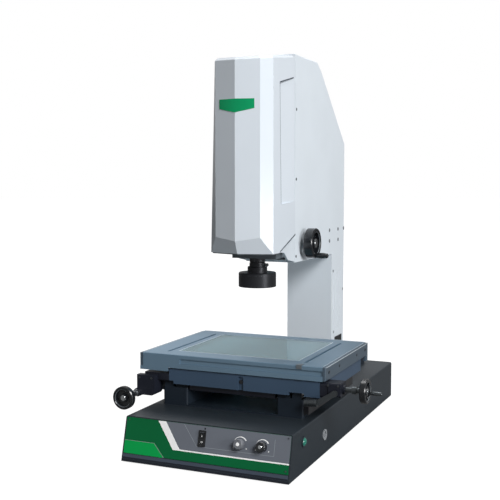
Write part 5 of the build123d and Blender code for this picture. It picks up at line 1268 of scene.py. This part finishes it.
@dataclass
class HeadDress:
    """What is added to the head cover, the lens and the ring light, in millimetres."""

    shop: Workshop
    repeat: Repeater
    ridge_y: float = -218.0
    facet_slope: float = 13.0 / 49.0
    plate_half: float = 38.0
    plate_low: float = 692.0
    plate_tip: float = 684.0
    plate_top: float = 711.0
    plate_lifts: tuple[float, float] = (0.05, 0.75)
    optical_y: float = -102.0
    lamp_level: float = 327.6
    lamp_rows: tuple[tuple[float, int], ...] = ((26.5, 28), (30.0, 32), (33.5, 36))
    lamp_sides: int = 16
    lamp_radius: float = 1.35
    lamp_height: float = 1.2
    band_level: float = 350.0
    band_profile: tuple[tuple[float, float], ...] = ((39.8, 0.0), (40.0, 0.3), (40.0, 1.0), (39.8, 1.3))
    cover_foot: float = 402.0
    cover_height: float = 418.0
    foot_half: float = 69.4
    taper: float = 5.4
    recess_front: float = -139.6
    recess_back: float = -60.0
    recess_low: tuple[float, float] = (501.0, 506.6)
    recess_high: tuple[float, float] = (750.0, 767.0)
    lip_sink: float = 0.3
    lip_rise: float = 0.55
    chin_start: float = -151.0
    chin_slope: float = 0.338
    # Corners of the painted shadow strip along the gap above the chin.
    gap_shade_corners: tuple[tuple[float, float], ...] = (
        (-149.0, 0.1), (-57.5, 0.1), (-57.5, 3.3), (-146.0, 2.3),
    )
    gap_shade_rise: float = 0.6

    def ridge_plate(self) -> None:
        """Fold the green plate over the cover's ridge."""
        work = bmesh.new()
        half = self.plate_half
        pairs = []
        for lift in self.plate_lifts:
            for x, low in ((-half, self.plate_low), (0.0, self.plate_tip), (half, self.plate_low)):
                y = self.ridge_y + abs(x) * self.facet_slope - lift
                foot = work.verts.new(place(x, y, low))
                pairs.append((foot, work.verts.new(place(x, y, self.plate_top))))
        inner = pairs[:3]
        outer = pairs[3:]
        for step in range(2):
            for row in (inner, outer):
                work.faces.new((row[step][0], row[step + 1][0], row[step + 1][1], row[step][1]))
            for edge in (0, 1):
                near = (inner[step][edge], inner[step + 1][edge])
                far = (outer[step + 1][edge], outer[step][edge])
                work.faces.new(near + far)
        for end in (0, 2):
            work.faces.new((inner[end][0], inner[end][1], outer[end][1], outer[end][0]))
        self.shop.keep(self.shop.shape("ridge_plate", work), PLATE_GREEN, "head")

    def ring_lamps(self) -> None:
        """Set rows of small lamps in the ring light's underside and a thin band on its rim."""
        centre = place(0.0, self.optical_y, self.lamp_level)
        for row, (radius, count) in enumerate(self.lamp_rows):
            sizes = {
                "Count": count, "Radius": radius, "Sides": self.lamp_sides,
                "Dot": self.lamp_radius, "Height": self.lamp_height,
            }
            self.repeat.grow(
                self.repeat.crown, f"ring_lamps_{row}", "head", LED_WHITE, centre, DOWN, RIGHT, sizes
            )
        band = self.shop.turned(
            "ring_light_band", self.band_profile, place(0.0, self.optical_y, self.band_level), UP
        )
        self.shop.keep(band, GREY_ANODISED, "head")

    def side_half(self, height: float) -> float:
        """Return the cover's half width at a height."""
        return self.foot_half - self.taper * (height - self.cover_foot) / self.cover_height

    def side_spot(self, side: float, y: float, surface: float, level: float) -> Vector:
        """Return a place just under the cover's side.

        Args:
            side: 1 on the right and -1 on the left.
            y: depth in millimetres.
            surface: height at which the cover's half width is taken.
            level: height of the place.

        Returns:
            The place in frame metres.
        """
        return place(side * (self.side_half(surface) - self.lip_sink), y, level)

    def recess_edges(self) -> None:
        """Line the front and the top of each side recess with a thin dark lip of painted shade, and its
        foot with a thin pale lip.
        """
        front = self.recess_front
        back = self.recess_back
        low_front, low_back = self.recess_low
        high_front, high_back = self.recess_high
        for label, side in (("right", 1.0), ("left", -1.0)):
            # The front and top lips are painted shade; the foot lip is in the cover's paint.
            for part, foot, head, width, finish in (
                ("front", (front, low_front), (front, high_front), 0.9, SLIT_SHADE),
                ("top", (front, high_front), (back, high_back), 2.4, SLIT_SHADE),
                ("foot", (front, low_front), (back, low_back), 1.2, COVER_PAINT),
            ):
                upright = part == "front"
                shift = width if upright else 0.0
                drop = 0.0 if upright else width
                outline = [
                    self.side_spot(side, foot[0], foot[1], foot[1]),
                    self.side_spot(side, head[0], head[1], head[1]),
                    self.side_spot(side, head[0] + shift, head[1], head[1] - drop),
                    self.side_spot(side, foot[0] + shift, foot[1], foot[1] - drop),
                ]
                lip = self.shop.plate(f"recess_{part}_{label}", outline, RIGHT * side * self.lip_rise * MM)
                self.shop.keep(lip, finish, "head")

    def chin_gap(self) -> None:
        """Line the diagonal gap above the chin with a dark strip of painted shadow."""
        for label, side in (("right", 1.0), ("left", -1.0)):
            outline = []
            for y, rise in self.gap_shade_corners:
                height = self.cover_foot + (y - self.chin_start) * self.chin_slope + rise
                outline.append(self.side_spot(side, y, height, height))
            # A dark strip of painted shadow along the gap.
            gap_shade = self.shop.plate(f"chin_gap_{label}", outline, RIGHT * side * self.gap_shade_rise * MM)
            self.shop.keep(gap_shade, SLIT_SHADE, "head")

    def build(self) -> None:
        """Add everything to the head."""
        self.ridge_plate()
        self.ring_lamps()
        self.recess_edges()
        self.chin_gap()


@dataclass(frozen=True)
class WheelFace:
    """A handwheel's open face: where it is and how large its ring and its cap are, in millimetres."""

    name: str
    body: str
    centre: Vector
    facing: Vector
    ring: float
    hub: float
    rise: float


@dataclass
class Wheels:
    """Rings and hub caps on the three handwheels."""

    shop: Workshop
    faces: tuple[WheelFace, ...] = (
        WheelFace("x_wheel", "x_drive", place(269.0, -230.0, 152.0), RIGHT, 18.0, 5.6, 12.0),
        WheelFace("y_wheel", "y_drive", place(-203.5, -306.0, 112.0), FRONT, 18.0, 5.6, 12.0),
        WheelFace("z_wheel", "z_drive", place(69.5, 23.0, 412.0), RIGHT, 25.0, 9.5, 20.0),
    )
    web_depth: float = 1.8

    def trim(self, face: WheelFace) -> None:
        """Set a ring inside the rim and a bright cap on the hub.

        Args:
            face: the wheel's open face.
        """
        low = face.rise - self.web_depth
        ring_profile = [
            (face.ring - 0.8, low),
            (face.ring + 0.3, low),
            (face.ring + 0.1, face.rise - 0.4),
            (face.ring - 0.6, face.rise - 0.8),
        ]
        ring = self.shop.turned(f"{face.name}_ring", ring_profile, face.centre, face.facing)
        self.shop.keep(ring, GREY_ANODISED, face.body)
        cap_profile = [
            (0.0, low - 2.0),
            (face.hub, low - 2.0),
            (face.hub, face.rise - 1.2),
            (face.hub - 0.8, face.rise - 0.5),
            (0.0, face.rise - 0.4),
        ]
        cap = self.shop.turned(f"{face.name}_cap", cap_profile, face.centre, face.facing)
        self.shop.keep(cap, BRIGHT_STEEL, face.body)

    def build(self) -> None:
        """Trim the three wheels."""
        for face in self.faces:
            self.trim(face)


@dataclass
class Hardware:
    """Screws, pale lines of painted highlight, the painted shade in the cable notch and the drive screw's
    thread, in millimetres.
    """

    shop: Workshop
    repeat: Repeater
    column_side: float = 57.5
    column_small: tuple[tuple[float, float], ...] = ((-22, 703), (-22, 553), (-22, 385))
    column_clamps: tuple[tuple[float, float], ...] = (
        (210, 431), (277, 431), (323, 431), (210, 405), (278, 405),
    )
    column_large: tuple[tuple[float, float], ...] = ((240, 329), (319, 277), (247, 177))
    rear_x: float = 42.0
    rear_y: float = 328.0
    rear_levels: tuple[float, ...] = (150.0, 300.0, 450.0, 590.0)
    table_end: float = 202.0
    end_level: float = 182.0
    end_ys: tuple[float, ...] = (-225.0, -160.0, -40.0, 25.0)
    block_spots: tuple[Point, ...] = ((207.0, -248.0, 161.0), (227.0, -248.0, 161.0))
    bracket_spots: tuple[Point, ...] = ((-198.0, -260.0, 144.0), (-170.0, -260.0, 144.0))
    # The pale edge and line bars are painted highlights.
    front_bars: tuple[tuple[str, Point, Point, Finish], ...] = (
        ("table_front_edge", (-197.0, -246.2, 193.2), (196.5, -245.9, 194.4), TABLE_EDGE_HIGHLIGHT),
        ("table_front_band", (-110.0, -246.15, 168.4), (195.5, -245.9, 176.6), TABLE_BAND),
        ("table_front_line", (-110.0, -246.25, 176.6), (195.5, -245.9, 177.3), TABLE_EDGE_HIGHLIGHT),
        ("table_right_edge", (201.8, -243.0, 192.6), (202.1, 47.0, 193.8), TABLE_EDGE_HIGHLIGHT),
    )
    joint_x: tuple[float, float] = (195.4, 196.4)
    joint_y: tuple[float, float] = (-243.0, 47.0)
    back_edge_x: float = 194.0
    back_edge_y: tuple[float, float] = (47.6, 48.8)
    table_top: float = 195.0
    line_sink: float = 0.1
    line_rise: float = 0.15
    border_rise: float = 0.2
    border_x: tuple[float, float] = (132.1, 133.5)
    border_y: tuple[float, float, float, float] = (-207.5, -206.1, 10.1, 11.5)
    notch_side: tuple[float, float] = (57.3, 57.8)
    notch_y: tuple[float, float] = (256.0, 312.0)
    notch_levels: tuple[float, float] = (146.0, 163.0)
    thread_start: Point = (-203.5, -210.0, 112.0)
    thread_count: int = 72
    thread_pitch: float = 2.0
    thread_radius: float = 5.25
    thread_height: float = 0.9

    def column_screws(self) -> None:
        """Set the screws in the column's two sides and in its rear cover."""
        for label, side, facing in (("right", self.column_side, RIGHT), ("left", -self.column_side, LEFT)):
            for size, spots, radius, finish, height in (
                ("small", self.column_small, 3.1, SCREW_BLACK, 0.6),
                ("clamp", self.column_clamps, 4.4, KNOB_GREY, 0.6),
                ("large", self.column_large, 3.2, GROUND_STEEL, 0.8),
            ):
                places = [place(side, y, z) for y, z in spots]
                self.repeat.screws(
                    f"column_{size}_screws_{label}", "machine", places, facing, radius, finish, height
                )
        rear = [place(x, self.rear_y, z) for x in (-self.rear_x, self.rear_x) for z in self.rear_levels]
        self.repeat.screws("rear_cover_screws", "machine", rear, BACK, 2.6, SCREW_BLACK, 1.0)

    def table_screws(self) -> None:
        """Set the screws in the table's end plates, the drive's block and the bracket."""
        for label, side, facing in (("right", self.table_end, RIGHT), ("left", -self.table_end, LEFT)):
            places = [place(side, y, self.end_level) for y in self.end_ys]
            self.repeat.screws(f"end_screws_{label}", "table", places, facing, 3.0, SCREW_BLACK, 0.6)
        for name, spots, radius in (
            ("drive_block_screws", self.block_spots, 2.0), ("bracket_screws", self.bracket_spots, 2.4)
        ):
            places = [place(*spot) for spot in spots]
            self.repeat.screws(name, "saddle_unit", places, FRONT, radius, SCREW_BLACK, 1.0)

    def bar(self, name: str, low: Point, high: Point, finish: Finish, body: str = "table") -> None:
        """Lay a thin bar between two opposite corners.

        Args:
            name: the piece's name.
            low: its lowest corner.
            high: its highest corner.
            finish: its finish.
            body: the body that carries it.
        """
        self.shop.keep(self.shop.block(name, place(*low), place(*high)), finish, body)

    def table_lines(self) -> None:
        """Lay the front band, and pale lines of painted highlight on the table's edges, joints and glass
        seat's border.
        """
        for name, lowest, highest, finish in self.front_bars:
            self.bar(name, lowest, highest, finish)
        low = self.table_top - self.line_sink
        high = self.table_top + self.line_rise
        border = self.table_top + self.border_rise
        inner, outer = self.border_x
        front, front_in, back_in, back = self.border_y
        near, far = self.joint_x
        first, last = self.joint_y
        edge = self.back_edge_x
        edge_front, edge_back = self.back_edge_y
        for name, corner, opposite, top in (
            ("table_right_joint", (near, first), (far, last), high),
            ("table_left_joint", (-far, first), (-near, last), high),
            ("table_back_edge", (-edge, edge_front), (edge, edge_back), high),
            ("glass_border_left", (-outer, front), (-inner, back), border),
            ("glass_border_right", (inner, front), (outer, back), border),
            ("glass_border_front", (-inner, front), (inner, front_in), border),
            ("glass_border_back", (-inner, back_in), (inner, back), border),
        ):
            # Each bar is a pale line of painted highlight.
            self.bar(name, (*corner, low), (*opposite, top), TABLE_EDGE_HIGHLIGHT)

    def notch_shade(self) -> None:
        """Fill the cable notch at the column's foot with a dark plate that paints the shade inside it."""
        inner, outer = self.notch_side
        front, back = self.notch_y
        low, high = self.notch_levels
        for label, left, right in (("right", inner, outer), ("left", -outer, -inner)):
            name = f"notch_shade_{label}"
            # A dark plate: painted shade in the notch.
            self.bar(name, (left, front, low), (right, back, high), BLACK_MATTE, "machine")

    def thread(self) -> None:
        """Stack the thread's ribs on the saddle's drive screw."""
        sizes = {
            "Count": self.thread_count, "Pitch": self.thread_pitch,
            "Radius": self.thread_radius, "Height": self.thread_height,
        }
        self.repeat.grow(
            self.repeat.ribs, "y_screw_thread", "y_drive", GROUND_STEEL,
            place(*self.thread_start), BACK, RIGHT, sizes,
        )

    def build(self) -> None:
        """Add all hardware."""
        self.column_screws()
        self.table_screws()
        self.table_lines()
        self.notch_shade()
        self.thread()


@dataclass(frozen=True)
class Lamp:
    """A soft round lamp: its place and its size in metres and its power in watts."""

    name: str
    spot: Point
    size: float
    power: float


@dataclass
class Studio:
    """Floor, backdrop, lamps and the camera, in metres and degrees."""

    camera_place: Point = (0.68935, -1.8310, 0.5439)
    azimuth: float = 23.31
    pitch: float = 4.30
    lens: float = 63.82
    sensor: float = 36.0
    clip: tuple[float, float] = (0.05, 30.0)
    floor_size: float = 60.0
    floor_tone: float = 0.16
    floor_shine: tuple[float, float] = (0.93, 1.0)
    shadow_reach: float = 0.8
    ambient: float = 0.10
    mirrored: float = 0.35
    aim: Point = (0.0, -60.0, 380.0)
    lamp_list: tuple[Lamp, ...] = (
        Lamp("key", (4.1, -3.6, 3.5), 2.4, 312.0),
        Lamp("gloss", (4.6, -1.7, 0.9), 1.6, 90.0),
        Lamp("back", (-2.4, 2.6, 4.4), 2.4, 150.0),
        Lamp("fill", (-1.9, -2.2, 1.0), 2.0, 0.6),
        Lamp("top", (0.1, 0.6, 3.4), 2.2, 46.0),
    )

    def floor(self) -> None:
        """Lay the pale floor."""
        mesh = bpy.data.meshes.new("floor")
        half = self.floor_size / 2
        corners = [(-half, -half, 0), (half, -half, 0), (half, half, 0), (-half, half, 0)]
        mesh.from_pydata(corners, [], [(0, 1, 2, 3)])
        floor = bpy.data.objects.new("floor", mesh)
        bpy.context.scene.collection.objects.link(floor)
        shader = Shader("floor_white")
        shader.surface.inputs["Base Color"].default_value = (self.floor_tone,) * 3 + (1.0,)
        shader.surface.inputs["Roughness"].default_value = 0.9
        shader.surface.inputs["Specular IOR Level"].default_value = 0.1
        far = shader.node("ShaderNodeVectorMath", operation="LENGTH")
        shader.link(shader.coordinates.outputs["Object"], far.inputs[0])
        fade = shader.node("ShaderNodeMapRange", interpolation_type="SMOOTHSTEP")
        fade.inputs["From Min"].default_value = self.shadow_reach
        fade.inputs["From Max"].default_value = 2.0 * self.shadow_reach
        fade.inputs["To Min"].default_value = self.floor_shine[0]
        fade.inputs["To Max"].default_value = self.floor_shine[1]
        shader.link(far.outputs["Value"], fade.inputs["Value"])
        rays = shader.node("ShaderNodeLightPath")
        seen = shader.node("ShaderNodeMath", operation="MULTIPLY")
        shader.link(rays.outputs["Is Camera Ray"], seen.inputs[0])
        shader.link(fade.outputs["Result"], seen.inputs[1])
        shader.surface.inputs["Emission Color"].default_value = WHITE
        shader.link(seen.outputs[0], shader.surface.inputs["Emission Strength"])
        mesh.materials.append(shader.material)

    def world(self) -> None:
        """Light the surroundings: white to the camera, soft grey to the machine."""
        world = bpy.data.worlds.new("studio")
        bpy.context.scene.world = world
        world.use_nodes = True
        tree = world.node_tree
        background = tree.nodes["Background"]
        background.inputs["Color"].default_value = WHITE
        rays = tree.nodes.new("ShaderNodeLightPath")
        glossy = tree.nodes.new("ShaderNodeMapRange")
        glossy.inputs["To Min"].default_value = self.ambient
        glossy.inputs["To Max"].default_value = self.mirrored
        tree.links.new(rays.outputs["Is Glossy Ray"], glossy.inputs["Value"])
        seen = tree.nodes.new("ShaderNodeMath")
        seen.operation = "MAXIMUM"
        tree.links.new(glossy.outputs["Result"], seen.inputs[0])
        tree.links.new(rays.outputs["Is Camera Ray"], seen.inputs[1])
        tree.links.new(seen.outputs[0], background.inputs["Strength"])

    def lamps(self) -> None:
        """Hang the soft lamps and aim them at the machine."""
        target = place(*self.aim)
        for plan in self.lamp_list:
            data = bpy.data.lights.new(plan.name, "AREA")
            data.shape = "DISK"
            data.size = plan.size
            data.energy = plan.power
            lamp = bpy.data.objects.new(plan.name, data)
            lamp.location = plan.spot
            lamp.rotation_euler = (target - Vector(plan.spot)).to_track_quat("-Z", "Y").to_euler()
            bpy.context.scene.collection.objects.link(lamp)

    def camera(self) -> None:
        """Place the camera where the photograph was taken."""
        data = bpy.data.cameras.new("camera")
        data.lens = self.lens
        data.sensor_width = self.sensor
        data.clip_start, data.clip_end = self.clip
        camera = bpy.data.objects.new("view_camera", data)
        turn = math.radians(self.azimuth)
        dip = math.radians(self.pitch)
        forward = Vector((-math.sin(turn) * math.cos(dip), math.cos(turn) * math.cos(dip), -math.sin(dip)))
        right = Vector((math.cos(turn), math.sin(turn), 0.0))
        up = right.cross(forward)
        turned = Matrix((right, up, -forward)).transposed()
        camera.matrix_world = Matrix.Translation(self.camera_place) @ turned.to_4x4()
        bpy.context.scene.collection.objects.link(camera)
        bpy.context.scene.camera = camera

    def build(self) -> None:
        """Set up everything that isn't part of the machine."""
        self.floor()
        self.world()
        self.lamps()
        self.camera()
        bpy.context.scene.view_settings.view_transform = "Standard"


def main() -> None:
    """Dress the machine, report each piece and set up the studio."""
    logging.basicConfig(level=logging.INFO, format="%(message)s")
    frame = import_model()
    dress = FrameDress(frame["nodes"])
    dress.dress()
    for name, finish in NODE_FINISHES.items():
        LOG.info("solid %s has the finish %s", name, finish.name)
    shop = Workshop(dress)
    repeat = Repeater(shop)
    assemblies = (
        FrontPanel(shop, repeat),
        HeadDress(shop, repeat),
        Wheels(shop),
        Hardware(shop, repeat),
    )
    for assembly in assemblies:
        first = len(shop.kept)
        assembly.build()
        for piece in shop.kept[first:]:
            LOG.info("%s made %s", type(assembly).__name__, piece.name)
    Studio().build()
    LOG.info("studio ready")


if __name__ == "__main__":
    main()
